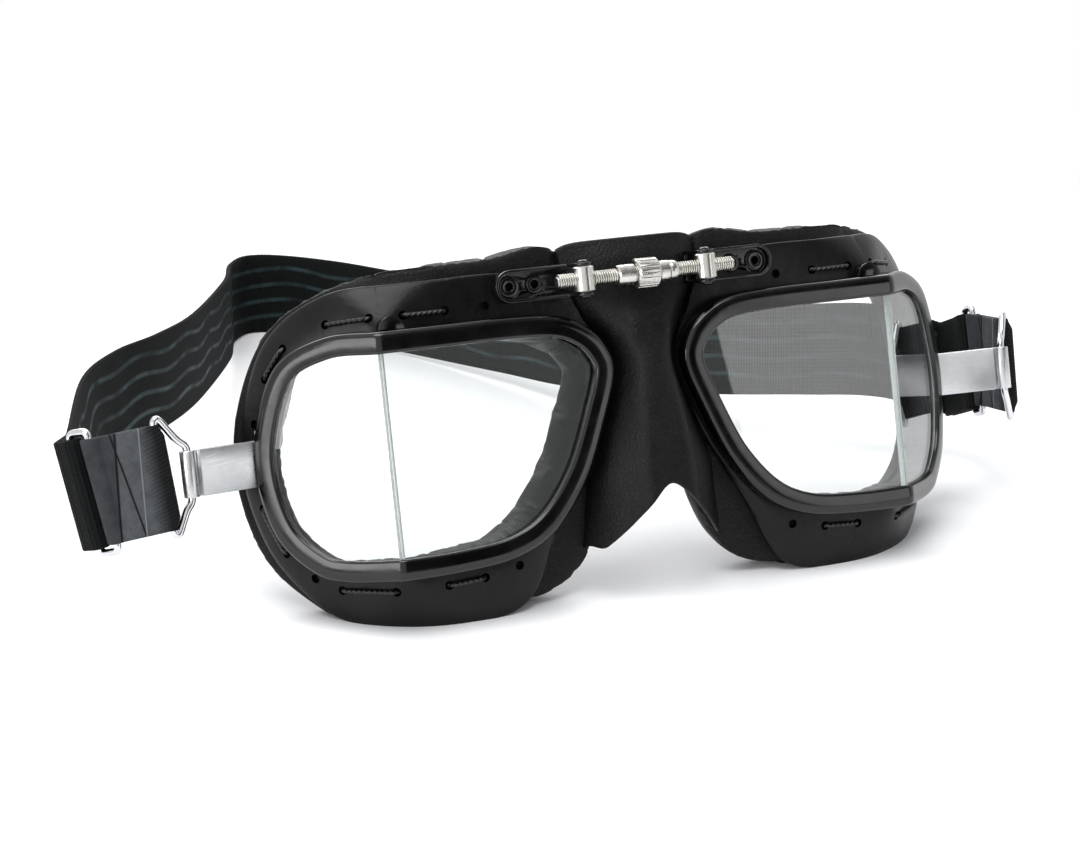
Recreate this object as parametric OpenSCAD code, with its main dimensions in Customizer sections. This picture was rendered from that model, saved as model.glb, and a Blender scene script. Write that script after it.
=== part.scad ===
// Split-lens racing goggles, resting on a table with the strap laid out behind.
// Each eyepiece is drawn upright, its front glass facing -Y, and is then leaned back onto its two resting edges.
// Left is -X as seen from the front; the left eyepiece is the mirror image of the right one.

/* [Stance] */
// Angle by which the eyepieces lean back when they rest on the table, degrees
lean = 15.5; // [12:0.5:18]
// Depth of the flat worn into each resting edge
foot_flat = 0.5; // [0.3:0.1:0.8]

/* [Lens frame] */
// Half of the height of the metal lens frame
rim_half = 29; // [26:0.5:32]
// Distance from the mirror plane to the frame's edge at the nose
nose_x = 9; // [8:0.5:11]
// Distance from the mirror plane to the vertical bend between the two glasses
bend_x = 67.5; // [62:0.5:72]
// Length of the side facet, measured along the glass
side_len = 35.5; // [31:0.5:40]
// Angle that the side facet turns back from the front one, degrees
wrap_angle = 43; // [34:1:46]
// Width of the metal band round the glass
band_w = 5.2; // [4:0.1:6]
// Depth of the frame's outer wall
frame_d = 5.6; // [5:0.1:6.5]
// Sheet thickness of the frame
sheet_t = 0.9; // [0.7:0.1:1.2]

/* [Glass] */
// Thickness of the glass
glass_t = 1.8; // [1.5:0.1:2.2]
// How far the glass reaches under the band
glass_bite = 1.2; // [0.8:0.1:1.6]
// Gap left between the two glasses along the bend
glass_gap = 0.16; // [0.1:0.02:0.3]

/* [Eyecup flange] */
// Thickness of the laced flange
flange_t = 1.2; // [1:0.1:1.6]
// Width of the flange along the top of the frame
flange_top = 10.5; // [8:0.5:13]
// Width of the flange at the temple
flange_side = 7.4; // [5:0.2:9]
// Width of the flange along the bottom of the frame
flange_bottom = 13.2; // [11:0.2:14]
// How far the flange's outer edge sweeps back
flange_dip = 2.6; // [1:0.1:3]
// Diameter of a lacing hole
lace_hole = 2.2; // [1.6:0.1:2.6]
// Distance of the row of lacing holes from the frame's edge
lace_out = 3; // [2.6:0.1:3.6]
// Diameter of the lacing cord
lace_d = 1.1; // [0.8:0.1:1.4]

/* [Face cushion] */
// Depth of the cushion's crest behind the frame's front, over the cheek and brow
cushion_back = 24; // [22:0.5:27]
// The same at the temple
cushion_side_back = 14; // [13:0.5:16]
// Height of the leather roll above the flange
roll_h = 4; // [3:0.5:5]

/* [Bridge adjuster] */
// Distance from the mirror plane to each trunnion's axis
trunnion_x = 15.9; // [15.4:0.1:17]
// Height of the screw's axis above the top of the frames
screw_rise = 6.9; // [6.4:0.1:7.6]
// How far the screw's axis stands in front of the frames' front face
screw_fore = 2; // [1.6:0.1:2.4]
// Diameter of the double-ended thread
thread_d = 3.4; // [3:0.1:3.6]
// Length of the whole screw
screw_len = 46; // [44:0.5:48]
// Diameter of the plain barrel in the middle of the screw
barrel_d = 4.9; // [4.4:0.1:5.2]
// Length of the barrel on the left of the thumb wheel's middle
barrel_left = 7.6; // [6:0.2:8]
// Length of the barrel on the right of it
barrel_right = 5.8; // [5:0.2:6]
// Diameter of the thumb wheel
wheel_d = 7.1; // [6.4:0.1:7.6]
// Width of the thumb wheel
wheel_w = 5.8; // [5:0.2:6.4]
// Number of grooves round the thumb wheel
wheel_grooves = 20; // [12:1:24]
// Length of the lock collar
collar_w = 2.3; // [2:0.1:2.6]
// Diameter of a trunnion
trunnion_d = 5.2; // [4.8:0.1:5.6]
// Height of a trunnion between the bracket's ears
trunnion_h = 6; // [5.6:0.1:6.4]
// Diameter of the pivot pins on a trunnion
pivot_d = 1.6; // [1.2:0.1:1.8]
// Clearance round a turning pin or thread, on the radius
run_gap = 0.05; // [0.02:0.01:0.09]

/* [Bracket] */
// Thickness of the bracket's plate and ears
bracket_t = 0.8; // [0.6:0.1:1]
// Distance from the trunnion to the inner eyelet
eyelet_1 = 10; // [9.4:0.2:11]
// Distance from the inner eyelet to the outer one
eyelet_2 = 6.5; // [6:0.1:7.4]
// Depth of the lip along the plate's edge
lip_d = 2; // [1.4:0.1:2.6]

/* [Side link and strap loop] */
// Distance from the hinge post to the barrel of the link
link_len = 19.6; // [18:0.2:22]
// Width of the folded steel link
link_w = 10.8; // [9:0.1:12]
// Thickness of the link's steel strip
strip_t = 0.5; // [0.4:0.05:0.6]
// Angle of the link at rest, degrees forward of straight out
link_rest = 16.5; // [10:0.5:20]
// Height of the link's middle over the middle of the frames
link_h = 0.8; // [-1:0.1:2]
// Diameter of the hinge post in the frame
post_d = 1.6; // [1.4:0.1:1.8]
// Diameter of the wire of the loop and the slider
wire_d = 1.8; // [1.6:0.1:2]
// Length of the loop's long bar, corner to corner
loop_len = 29.6; // [29:0.2:33]
// Distance between the loop's two bars
loop_w = 6.4; // [6:0.2:8]
// Angle by which the loop's long bar leans outward from the short one
bar_tilt = 5; // [0:0.5:6]
// Angle by which the slider leans outward from the long bar
slider_tilt = 4; // [0:0.5:5]

/* [Strap] */
// Width of the elastic strap
strap_w = 26; // [24:0.5:28]
// Thickness of the elastic strap
strap_t = 1.4; // [1:0.1:1.6]
// Length of the leather tab between the loop and the slider
tab_len = 14.4; // [13:0.2:16]
// Thickness of one leather layer of the tab
tab_t = 1.1; // [0.9:0.1:1.3]
// Distance between the slider's two bars
slider_w = 5.4; // [5:0.1:6]
// Length of the strap's end that is doubled back round the slider
strap_return = 12; // [8:1:16]

/* [Nose leather] */
// Thickness of the nose leather
leather_t = 1.6; // [1.2:0.1:2]
// Height of the leather's top edge over the middle of the frames
leather_top = 44.4; // [43.6:0.2:45.2]
// Height of the nose arch under the middle of the frames
arch_drop = 14; // [11:0.5:17]
// Half of the leather's width at the adjuster
seam_x = 17.8; // [17:0.2:18.6]

/* [Hidden] */
eps = 0.01;
seat = 0.12;
leather_room_h = 19.4;
leather_room_back = 10.7;
// Points per spline span and sides of a round part
sub = 4;
fine = 48;

// Outline of the lens frame seen square to the glass: how far along (0 at the nose, 1 at the bend,
// 2 at the temple) and how high (as a share of rim_half), clockwise from the middle of the nose side
rim_path = [
    [0, 0.465], [0.03, 0.69], [0.11, 0.86], [0.24, 0.97], [0.46, 1], [0.73, 1],
    [1, 1], [1.41, 0.995], [1.775, 0.8], [1.97, 0.31], [2, -0.14], [1.89, -0.6], [1.65, -0.89], [1.42, -0.98],
    [1, -1], [0.735, -0.995], [0.505, -0.94], [0.325, -0.76], [0.17, -0.386], [0.06, 0.1]
];
// Width of the flange, how far it sweeps back and how far the leather stands out, at the same places
flange_path = [
    0.5, 0.5, 2.4, flange_top - 1, flange_top, flange_top,
    flange_top, flange_top - 0.6, flange_side + 0.8, flange_side, flange_side, flange_side,
    (flange_side + flange_bottom) * 0.44, flange_bottom * 0.87,
    flange_bottom * 0.96, flange_bottom, flange_bottom * 0.96, 3, 0.5, 0.5
];
dip_path = [0, 0, 0.1, 0.1, 0.2, 0.6, 1, 1, 1, 1, 1, 1, 1, 1, 1, 1, 0.9, 0.7, 0.2, 0];
crown_path = [
    0.7, 1.2, 9, flange_top + roll_h + 0.8, flange_top + roll_h, flange_top + roll_h - 0.3,
    flange_top + roll_h - 0.9, flange_top + roll_h - 2.8, flange_side + 3.2, flange_side + 3.6, flange_side + 3.8, flange_side + 3.8,
    flange_side + 3.8, flange_bottom * 0.95,
    flange_bottom * 0.97, flange_bottom, flange_bottom, flange_bottom * 0.92, 5.5, 1.7
];
// How deep the cushion's crest lies: 0 is the temple's depth, 1 the depth over cheek and brow
crest_path = [0.85, 0.9, 0.95, 1, 1, 1, 0.85, 0.55, 0.2, 0.05, 0, 0.05, 0.3, 0.62, 0.85, 1, 1, 1, 0.9, 0.85];
spans = len(rim_path);
stations = spans * sub;

front_len = bend_x - nose_x;
screw_h = rim_half + screw_rise;
rest_h = (rim_half + flange_bottom) * cos(lean) + (frame_d + 0.2 + flange_dip) * sin(lean) - foot_flat;
glass_e = sheet_t + 0.4;
seat_e = glass_e + glass_t + seat;
flange_e = frame_d + 0.2;
glass_inset = band_w - glass_bite;
trunnion_y = -screw_fore;
plate_e = flange_e - seat;
post_s = bend_x + side_len - sheet_t / 2;
post_e = seat_e + 0.2;

// Cubic through the listed values, closed round the frame
function cubic(a, b, c, d, t) =
    b + 0.5 * t * ((c - a) + t * ((2 * a - 5 * b + 4 * c - d) + t * (3 * (b - c) + d - a)));
function along(list, i) =
    let (k = floor(i / sub), t = i / sub - k, n = len(list))
    cubic(list[(k + n - 1) % n], list[k % n], list[(k + 1) % n], list[(k + 2) % n], t);
function open_cubic(list, k, t) =
    let (n = len(list) - 1)
    cubic(list[max(k - 1, 0)], list[k], list[min(k + 1, n)], list[min(k + 2, n)], t);

// A place on the frame's outline in millimetres: along the glass and up
rim_mm = [for (p = rim_path) [p[0] <= 1 ? nose_x + p[0] * front_len : bend_x + (p[0] - 1) * side_len, p[1] * rim_half]];
function rim(i) = along(rim_mm, i % stations);
function outward(i) =
    let (a = rim((i + stations - 1) % stations), b = rim((i + 1) % stations), d = b - a)
    [-d[1], d[0]] / norm(d);

// From the developed glass to space: s along, h up, e behind the front face
function front_of(s) = s < bend_x - eps;
function place(base, s, h, e) =
    front_of(base) ? [s, e, h]
    : base < bend_x + eps ? [s - e * tan(wrap_angle / 2), e, h]
    : [bend_x + (s - bend_x) * cos(wrap_angle) - e * sin(wrap_angle),
       (s - bend_x) * sin(wrap_angle) + e * cos(wrap_angle), h];
// The same for soft parts, whose depth behind the flange turns gradually round the bend
flange_back = flange_e + flange_dip + flange_t;
function turn_at(s) =
    let (t = min(1, max(0, (s - bend_x + 24) / 52)))
    wrap_angle * t * t * (3 - 2 * t);
function place_soft(base, s, h, e) =
    let (p = place(base, s, h, min(e, flange_back)), q = turn_at(base), more = max(e - flange_back, 0))
    [p[0] - more * sin(q), p[1] + more * cos(q), p[2]];

// Depth of the flange's front face at a share of its width
function flange_depth(i, share) = flange_e + flange_dip * along(dip_path, i) * pow(max(share, 0), 1.6);
function flange_w(i) = along(flange_path, i);
function crown_w(i) = along(crown_path, i);
function crest_e(i) = cushion_side_back + (cushion_back - cushion_side_back) * along(crest_path, i);

// A closed ring whose section is a list of [outward, depth] at each station
module ring(sections, soft = false) {
    m = len(sections[0]);
    points = [for (i = [0:stations - 1], p = sections[i])
        let (c = rim(i), n = outward(i), q = c + n * p[0])
        soft ? place_soft(c[0], q[0], q[1], p[1]) : place(c[0], q[0], q[1], p[1])];
    faces = [for (i = [0:stations - 1], j = [0:m - 1])
        let (a = i * m + j, b = i * m + (j + 1) % m, c = ((i + 1) % stations) * m + (j + 1) % m,
             d = ((i + 1) % stations) * m + j)
        each [[a, b, c], [a, c, d]]];
    polyhedron(points, faces, convexity = 6);
}

// Stands an upright piece on the table
module stand() {
    translate([0, 0, rest_h]) rotate([-lean, 0, 0]) children();
}

// The right piece, or its mirror image
module on_side(side) {
    stand() mirror([side < 0 ? 1 : 0, 0, 0]) children();
}

// Rests a piece on the table with a flat
module rested(side) {
    difference() {
        on_side(side) children();
        translate([-200, -60, -20]) cube([400, 140, 20]);
    }
}

// Rolled metal band with its outer wall, a slot for the link and the link's hinge post
function frame_section() = [
    [-band_w, glass_e - seat], [-band_w, 0.7], [-band_w + 0.7, 0.12], [-band_w * 0.5, 0], [-1.2, 0.2], [-0.3, 0.8], [0, 1.7],
    [0, frame_d], [-sheet_t, frame_d], [-sheet_t, glass_e - seat]
];
module post_place() {
    p = place(post_s, post_s, 0, post_e);
    translate([p[0], p[1], link_h]) children();
}
swing_back = 45;
swing_fore = 3;
slot_h = link_w + 0.6;
module link_sweep(extra) {
    reach = eye_r + extra;
    function turned(a, p) = [p[0] * cos(a) - p[1] * sin(a), p[0] * sin(a) + p[1] * cos(a)];
    low = -link_rest - swing_fore;
    high = -link_rest + swing_back;
    translate([0, 0, -slot_h / 2]) linear_extrude(slot_h) {
        circle(r = reach * 1.03, $fn = fine);
        polygon([turned(low, [0, -reach]), turned(low, [16, -reach]), turned(high, [16, reach]), turned(high, [0, reach])]);
    }
}
module lens_frame(side) {
    color("#16171a") on_side(side) {
        difference() {
            ring([for (i = [0:stations - 1]) frame_section()]);
            post_place() link_sweep(0.12);
        }
        post_place() translate([0, 0, -slot_h / 2 - 2]) cylinder(h = slot_h + 4, d = post_d, $fn = fine);
    }
}

// Glass: the frame's outline drawn in, cut square at the bend and mitred there
function glass_outline() = [for (i = [0:stations - 1]) rim(i) - outward(i) * glass_inset];
module facet_plate(s_from, s_to, depth, thick) {
    rotate([90, 0, 0]) translate([0, 0, -depth - thick]) linear_extrude(thick) intersection() {
        polygon(glass_outline());
        translate([s_from, -60]) square([s_to - s_from, 120]);
    }
}
module bend_half(front) {
    cut = glass_gap / 2;
    translate([bend_x, 0, -60]) rotate([0, 0, wrap_angle / 2]) {
        if (front) translate([-120 - cut, -20, 0]) cube([120, 60, 120]);
        else translate([cut, -20, 0]) cube([120, 60, 120]);
    }
}
module front_glass(side) {
    color("#e6eaec", 0.3) on_side(side) intersection() {
        facet_plate(0, bend_x + 2, glass_e, glass_t);
        bend_half(true);
    }
}
module side_glass(side) {
    color("#e6eaec", 0.3) on_side(side) intersection() {
        translate([bend_x, 0, 0]) rotate([0, 0, wrap_angle]) translate([-bend_x, 0, 0])
            facet_plate(bend_x - 2, bend_x + side_len, glass_e, glass_t);
        bend_half(false);
    }
}

// Pressed cup behind the glass, its flange swept back and punched for the lacing
function cup_section(i) =
    let (w = max(flange_w(i), 0.5), edge = flange_depth(i, 1), foot = -glass_inset - 0.6, wall = -sheet_t - seat)
    [[foot, seat_e], [wall, seat_e], [wall, flange_e], [w * 0.4, flange_depth(i, 0.4)], [w * 0.75, flange_depth(i, 0.75)],
     [w, edge], [w, edge + flange_t], [w * 0.6, flange_depth(i, 0.6) + flange_t], [wall - 1, flange_e + flange_t],
     [wall - flange_t, seat_e + flange_t], [foot, seat_e + flange_t]];
lace_at = [16.7, 19.2, 21.8, 25.2, 28.2, 31.4, 33.4, 36, 41.6, 44.8, 47.6, 50.6, 54.8, 59.3, 61.8, 64.4];
stitched = [1, 3, 5, 8, 11, 13];
function lace_point(k, lift) =
    let (i = lace_at[k], a = floor(i), t = i - a, c = rim(a) * (1 - t) + rim(a + 1) * t,
         n = outward(a) * (1 - t) + outward(a + 1) * t, q = c + n * lace_out)
    place(c[0], q[0], q[1], flange_depth(a, lace_out / flange_w(a)) - lift);
module eyecup(side) {
    color("#1d1e20") rested(side) difference() {
        ring([for (i = [0:stations - 1]) cup_section(i)]);
        for (k = [0:len(lace_at) - 1])
            translate(lace_point(k, 0)) rotate([0, 0, rim(floor(lace_at[k]))[0] > bend_x ? wrap_angle : 0])
                rotate([-90, 0, 0]) translate([0, 0, -2]) cylinder(h = 5, d = lace_hole, $fn = 24);
        for (x = [eyelet_1, bracket_len]) translate([trunnion_x + x, 0, screw_h]) rotate([-90, 0, 0])
            cylinder(h = 12, r = eyelet_r + run_gap, $fn = fine);
        post_place() link_sweep(0.3);
        post_place() cylinder(h = slot_h + 4.6, d = post_d + 0.3, center = true, $fn = fine);
    }
}

// A round rod between two places, with a ball at its far end
module rod(a, b, d) {
    v = b - a;
    translate(a) rotate([0, acos(v[2] / norm(v)), atan2(v[1], v[0])]) cylinder(h = norm(v), d = d, $fn = 24);
    translate(b) sphere(d = d * 1.03, $fn = 24);
}
// Running stitches of the lacing cord, each one from a hole to the next
module stitch(a, b) {
    v = b - a;
    long = norm(v);
    translate(a) rotate([0, acos(v[2] / long), atan2(v[1], v[0])]) rotate_extrude($fn = 24) intersection() {
        union() {
            circle(d = lace_d, $fn = 24);
            translate([0, long]) circle(d = lace_d, $fn = 24);
            translate([-lace_d / 2, 0]) square([lace_d, long]);
        }
        translate([0, -lace_d]) square([lace_d, long + 2 * lace_d]);
    }
}
module lacing(side) {
    out = lace_d / 2 + seat;
    color("#0c0c0d") on_side(side) for (k = stitched) stitch(lace_point(k, out), lace_point(k + 1, out));
}

// Padded leather ring with a crowned roll over the flange and a soft crest against the face
function cushion_section(i) =
    let (w = max(flange_w(i), 0.4), c = crown_w(i), back = crest_e(i),
         f0 = flange_e + flange_t + seat, f1 = flange_depth(i, 1) + flange_t + 0.3)
    [[-band_w + 0.4, f0], [-1.6, f0], [min(w * 0.5, c - 1.4), max(f0 + 0.7, flange_depth(i, 0.5) + flange_t + 0.3)],
     [min(w - 0.8, c - 0.8), f1 + 0.3], [c - 0.7, f1 + 0.9], [c, f1 + 2.4], [c - 1.1, (f1 + back) / 2], [c - 3.4, back - 2.6],
     [c * 0.45 - 2.6, back], [-band_w + 0.6, back - 0.8], [-band_w - 1.6, back - 3.2], [-band_w - 0.9, (f0 + back) / 2]];
module face_cushion(side) {
    color("#26262a") rested(side) difference() {
        ring([for (i = [0:stations - 1]) cushion_section(i)], true);
        translate([0, 0, leather_room_h]) cube([seam_x + 0.35, leather_room_back, 40]);
    }
}

// Half-round vent hood over the top of the bend
module vent_hood(side) {
    hood_r = 3.1;
    hood_t = 0.6;
    p = place(bend_x - 4.6, bend_x - 4.6, rim_half + seat, frame_d - 2.6);
    color("#16171a") on_side(side) translate(p) rotate([-90, 0, 0]) intersection() {
        difference() {
            cylinder(h = 2.6, r = hood_r, $fn = fine);
            translate([0, 0, hood_t]) cylinder(h = 3, r = hood_r - hood_t, $fn = fine);
        }
        translate([-hood_r, -hood_r, -1]) cube([hood_r * 2, hood_r, 6]);
    }
}

// Channel bracket: plate with a lip all round, and two ears that hold the trunnion
bracket_h = trunnion_h + 2 * (seat + bracket_t);
bracket_len = eyelet_1 + eyelet_2;
eyelet_r = 1.5;
module bracket_outline(grow) {
    translate([-2.2 - grow, -bracket_h / 2 - grow]) square([bracket_len + 2.2 + grow, bracket_h + 2 * grow]);
    translate([bracket_len, 0]) circle(d = bracket_h + 2 * grow, $fn = fine);
}
module bracket(side) {
    front = plate_e - bracket_t - trunnion_y;
    color("#141416") on_side(side) translate([trunnion_x, trunnion_y, screw_h]) rotate([90, 0, 0]) {
        difference() {
            translate([0, 0, -front - bracket_t]) linear_extrude(bracket_t + lip_d) bracket_outline(0);
            translate([0, 0, -front]) linear_extrude(lip_d + 1) bracket_outline(-bracket_t);
            translate([-10, -bracket_h / 2 - 1, -front]) cube([12, bracket_h + 2, lip_d + 1]);
            for (x = [eyelet_1, bracket_len]) translate([x, 0, -front - 2]) cylinder(h = 4, r = eyelet_r + run_gap, $fn = fine);
        }
        for (z = [-1, 1]) difference() {
            translate([0, z * (bracket_h - bracket_t) / 2, 0]) {
                translate([-2.2, -bracket_t / 2, -front - bracket_t / 2]) cube([4.4, bracket_t, front + bracket_t / 2]);
                rotate([90, 0, 0]) cylinder(h = bracket_t, d = 4.4, center = true, $fn = fine);
            }
            rotate([90, 0, 0]) cylinder(h = bracket_h + 2, r = pivot_d / 2 + run_gap, center = true, $fn = fine);
        }
    }
}

// Eyelets that clench the bracket to the flange
module eyelet(head_r) {
    grip = bracket_t + seat + flange_t + 0.1;
    difference() {
        union() {
            translate([0, 0, 0]) cylinder(h = 0.5, r = head_r, $fn = fine);
            translate([0, 0, -grip]) cylinder(h = grip + 0.5, r = eyelet_r, $fn = fine);
        }
        translate([0, 0, -grip - 1]) cylinder(h = grip + 3, r = eyelet_r - 0.5, $fn = fine);
    }
}
module eyelets(side) {
    color("#101012") on_side(side) for (x = [eyelet_1, bracket_len])
        translate([trunnion_x + x, plate_e - bracket_t - eps, screw_h]) rotate([90, 0, 0]) eyelet(x == eyelet_1 ? 2.1 : 2.5);
}

// Trunnion nut: an upright cylinder, cross-drilled for the thread, with a riveted pin at each end
module trunnion(side) {
    pin_h = trunnion_h / 2 + seat + bracket_t;
    color("#b9bbbd") on_side(side) translate([trunnion_x, trunnion_y, screw_h]) {
        difference() {
            cylinder(h = trunnion_h, d = trunnion_d, center = true, $fn = fine);
            rotate([0, 90, 0]) cylinder(h = trunnion_d + 2, r = thread_d / 2 + run_gap, center = true, $fn = fine);
        }
        for (z = [0, 1]) mirror([0, 0, z]) {
            translate([0, 0, trunnion_h / 2 - eps]) cylinder(h = pin_h - trunnion_h / 2 + 0.1, d = pivot_d, $fn = fine);
            translate([0, 0, pin_h + 0.05]) cylinder(h = 0.6, d1 = 2.6, d2 = 1.9, $fn = fine);
        }
    }
}

// Double-ended screw, drawn at its root between the barrel and the ends
module on_screw() {
    stand() translate([0, trunnion_y, screw_h]) rotate([0, 90, 0]) children();
}
module bridge_screw() {
    color("#c3c5c7") on_screw() {
        cylinder(h = screw_len, d = thread_d, center = true, $fn = fine);
        translate([0, 0, -barrel_left]) cylinder(h = barrel_left + barrel_right, d = barrel_d, $fn = fine);
    }
}
module thumb_wheel() {
    color("#d3d5d6") on_screw() difference() {
        translate([0, 0, -wheel_w / 2]) union() {
            cylinder(h = 0.5, d1 = wheel_d - 1, d2 = wheel_d, $fn = fine);
            translate([0, 0, 0.5]) cylinder(h = wheel_w - 1, d = wheel_d, $fn = fine);
            translate([0, 0, wheel_w - 0.5]) cylinder(h = 0.5, d1 = wheel_d, d2 = wheel_d - 1, $fn = fine);
        }
        cylinder(h = wheel_w + 2, d = barrel_d + 2 * eps, center = true, $fn = fine);
        for (k = [1:wheel_grooves]) rotate([0, 0, k * 360 / wheel_grooves])
            translate([wheel_d / 2 + 0.1, 0, 0]) cylinder(h = wheel_w + 2, r = 0.32, center = true, $fn = 16);
    }
}
module lock_collar() {
    color("#c9cbcc") on_screw() translate([0, 0, barrel_right + 0.05]) difference() {
        union() {
            cylinder(h = collar_w * 0.6, d = barrel_d - 0.3, $fn = fine);
            translate([0, 0, collar_w * 0.6]) cylinder(h = collar_w * 0.4, d1 = barrel_d - 0.3, d2 = barrel_d - 1, $fn = fine);
        }
        translate([0, 0, -1]) cylinder(h = collar_w + 2, d = thread_d + 2 * eps, $fn = fine);
    }
}

// Saddle of leather between the eyepieces: half width at each height, then depth at the middle and the sides
arch_edge = -arch_drop;
half_width = [[-31, 16], [-22, 16], [-11, 16], [3, 11], [13.5, 7.8], [17, 8], [20, 9.2], [27, 13.6], [33, 17], [45, seam_x]];
mid_depth = [[-31, -5.2], [-14, -5], [0, -4.4], [15, -3], [25, -0.4], [31, 2], [36, 3.3], [40, 4], [45, 6.4]];
side_depth = [[-31, 10.4], [-11, 6.7], [20, 6.7], [27, 8.6], [45, 9.4]];
module nose_bridge() {
    cols = 20;
    rows = 14;
    leg = 19;
    function height_at(u, v) = leather_top + (arch_edge - leg * (sqrt(u * u + 0.03) - 0.173) / 0.842 - leather_top) * v;
    function depth_at(u, h) =
        let (x = abs(u) * lookup(h, half_width), ridge = h < 24 ? 1.3 * exp(-pow((x - 5.5) / 2.4, 2)) : 0)
        lookup(h, mid_depth) + (lookup(h, side_depth) - lookup(h, mid_depth)) * pow(abs(u), 2.4) - ridge * (1 - abs(u));
    function leaf(u, v, off) =
        let (h = height_at(u, v)) [u * lookup(h, half_width), depth_at(u, h) + off, h];
    n = cols + 1;
    m = rows + 1;
    points = [for (off = [-leather_t / 2, leather_t / 2], i = [0:cols], j = [0:rows]) leaf(i * 2 / cols - 1, j / rows, off)];
    back = n * m;
    faces = [
        for (i = [0:cols - 1], j = [0:rows - 1])
            let (a = i * m + j, b = a + 1, c = a + m + 1, d = a + m)
            each [[a, c, b], [a, d, c], [back + a, back + b, back + c], [back + a, back + c, back + d]],
        for (i = [0:cols - 1]) let (a = i * m, d = a + m, e = a + rows, f = d + rows)
            each [[a, back + d, d], [a, back + a, back + d], [e, f, back + f], [e, back + f, back + e]],
        for (j = [0:rows - 1]) let (a = j, b = j + 1, c = cols * m + j, d = c + 1)
            each [[a, b, back + b], [a, back + b, back + a], [c, back + d, d], [c, back + c, back + d]]
    ];
    color("#2a2a2d") stand() polyhedron(points, faces, convexity = 6);
}

// Places and directions along the chain of link, loop, tab and slider, for the right side at rest;
// the first number of a pair is for the left side, which lies in another pose
loop_turn = [-8, 46];
tab_turn = [9, 44];
tab_rise = [0, 2.6];
slider_turn = [54, -8];
strap_fold = [60, 0];
fold_out = [2.6, 5.2];
function of_side(pair, side) = pair[side < 0 ? 0 : 1];
function rot_x(a) = [[1, 0, 0], [0, cos(a), -sin(a)], [0, sin(a), cos(a)]];
function rot_y(a) = [[cos(a), 0, sin(a)], [0, 1, 0], [-sin(a), 0, cos(a)]];
function rot_z(a) = [[cos(a), -sin(a), 0], [sin(a), cos(a), 0], [0, 0, 1]];
post_at = place(post_s, post_s, 0, post_e);
barrel_at = [post_at[0] + link_len * cos(link_rest), post_at[1] - link_len * sin(link_rest), link_h];
barrel_r = wire_d / 2 + run_gap + strip_t + 0.4;
eye_r = post_d / 2 + run_gap + strip_t;
function loop_axes(side) = rot_z(of_side(loop_turn, side));
function tab_axes(side) = loop_axes(side) * rot_y(bar_tilt) * rot_z(of_side(tab_turn, side));
function slider_axes(side) = tab_axes(side) * rot_y(slider_tilt) * rot_z(of_side(slider_turn, side));
function bar_at(side) = barrel_at + loop_axes(side) * [loop_w, 0, 0];
function tab_end(side) = bar_at(side) + tab_axes(side) * [tab_len, 0, of_side(tab_rise, side)];
function slider_end(side) = tab_end(side) + slider_axes(side) * [slider_w, 0, 0];
module at_loop(side) {
    on_side(side) translate(barrel_at) rotate([0, 0, of_side(loop_turn, side)]) children();
}
module at_tab(side) {
    at_loop(side) translate([loop_w, 0, 0]) rotate([0, bar_tilt, 0]) rotate([0, 0, of_side(tab_turn, side)]) children();
}
module at_slider(side) {
    at_tab(side) translate([tab_len, 0, of_side(tab_rise, side)]) rotate([0, slider_tilt, 0])
        rotate([0, 0, of_side(slider_turn, side)]) children();
}

// Folded steel strip round the hinge post and round the wire of the loop
module strap_link(side) {
    plate = link_len;
    front_len = plate - barrel_r - 0.7;
    color("#b4b6b8") on_side(side) post_place() rotate([0, 0, -link_rest]) translate([0, 0, -link_w / 2])
        linear_extrude(link_w) difference() {
            union() {
                circle(r = eye_r, $fn = fine);
                translate([plate, 0]) circle(r = barrel_r, $fn = fine);
                translate([0, -eye_r]) square([front_len, strip_t]);
                translate([0, eye_r - strip_t]) square([plate, strip_t]);
                translate([front_len - strip_t, -eye_r]) square([strip_t, eye_r * 2 - 0.2]);
            }
            circle(r = post_d / 2 + run_gap, $fn = fine);
            translate([plate, 0]) circle(r = wire_d / 2 + run_gap, $fn = fine);
        }
}

// Wire bent into a long, tapering loop: short bar in the link's barrel, long bar in the tab
module wire_ring(path) {
    n = len(path);
    for (k = [0:n - 1]) rod(path[k], path[(k + 1) % n], wire_d);
}
module strap_loop(side) {
    short_h = link_w / 2 + 1.1;
    long_h = loop_len / 2 - wire_d / 2;
    shift = (long_h - 1) * tan(bar_tilt);
    color("#cfd1d3") at_loop(side) wire_ring([[0, 0, -short_h], [0, 0, short_h], [loop_w * 0.3 + shift * 0.3, 0, short_h + 1.6],
        [loop_w - 1 + shift, 0, long_h], [loop_w + shift, 0, long_h - 1], [loop_w - shift, 0, 1 - long_h],
        [loop_w - 1 - shift, 0, -long_h], [loop_w * 0.3 - shift * 0.3, 0, -short_h - 1.6]]);
}

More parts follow.
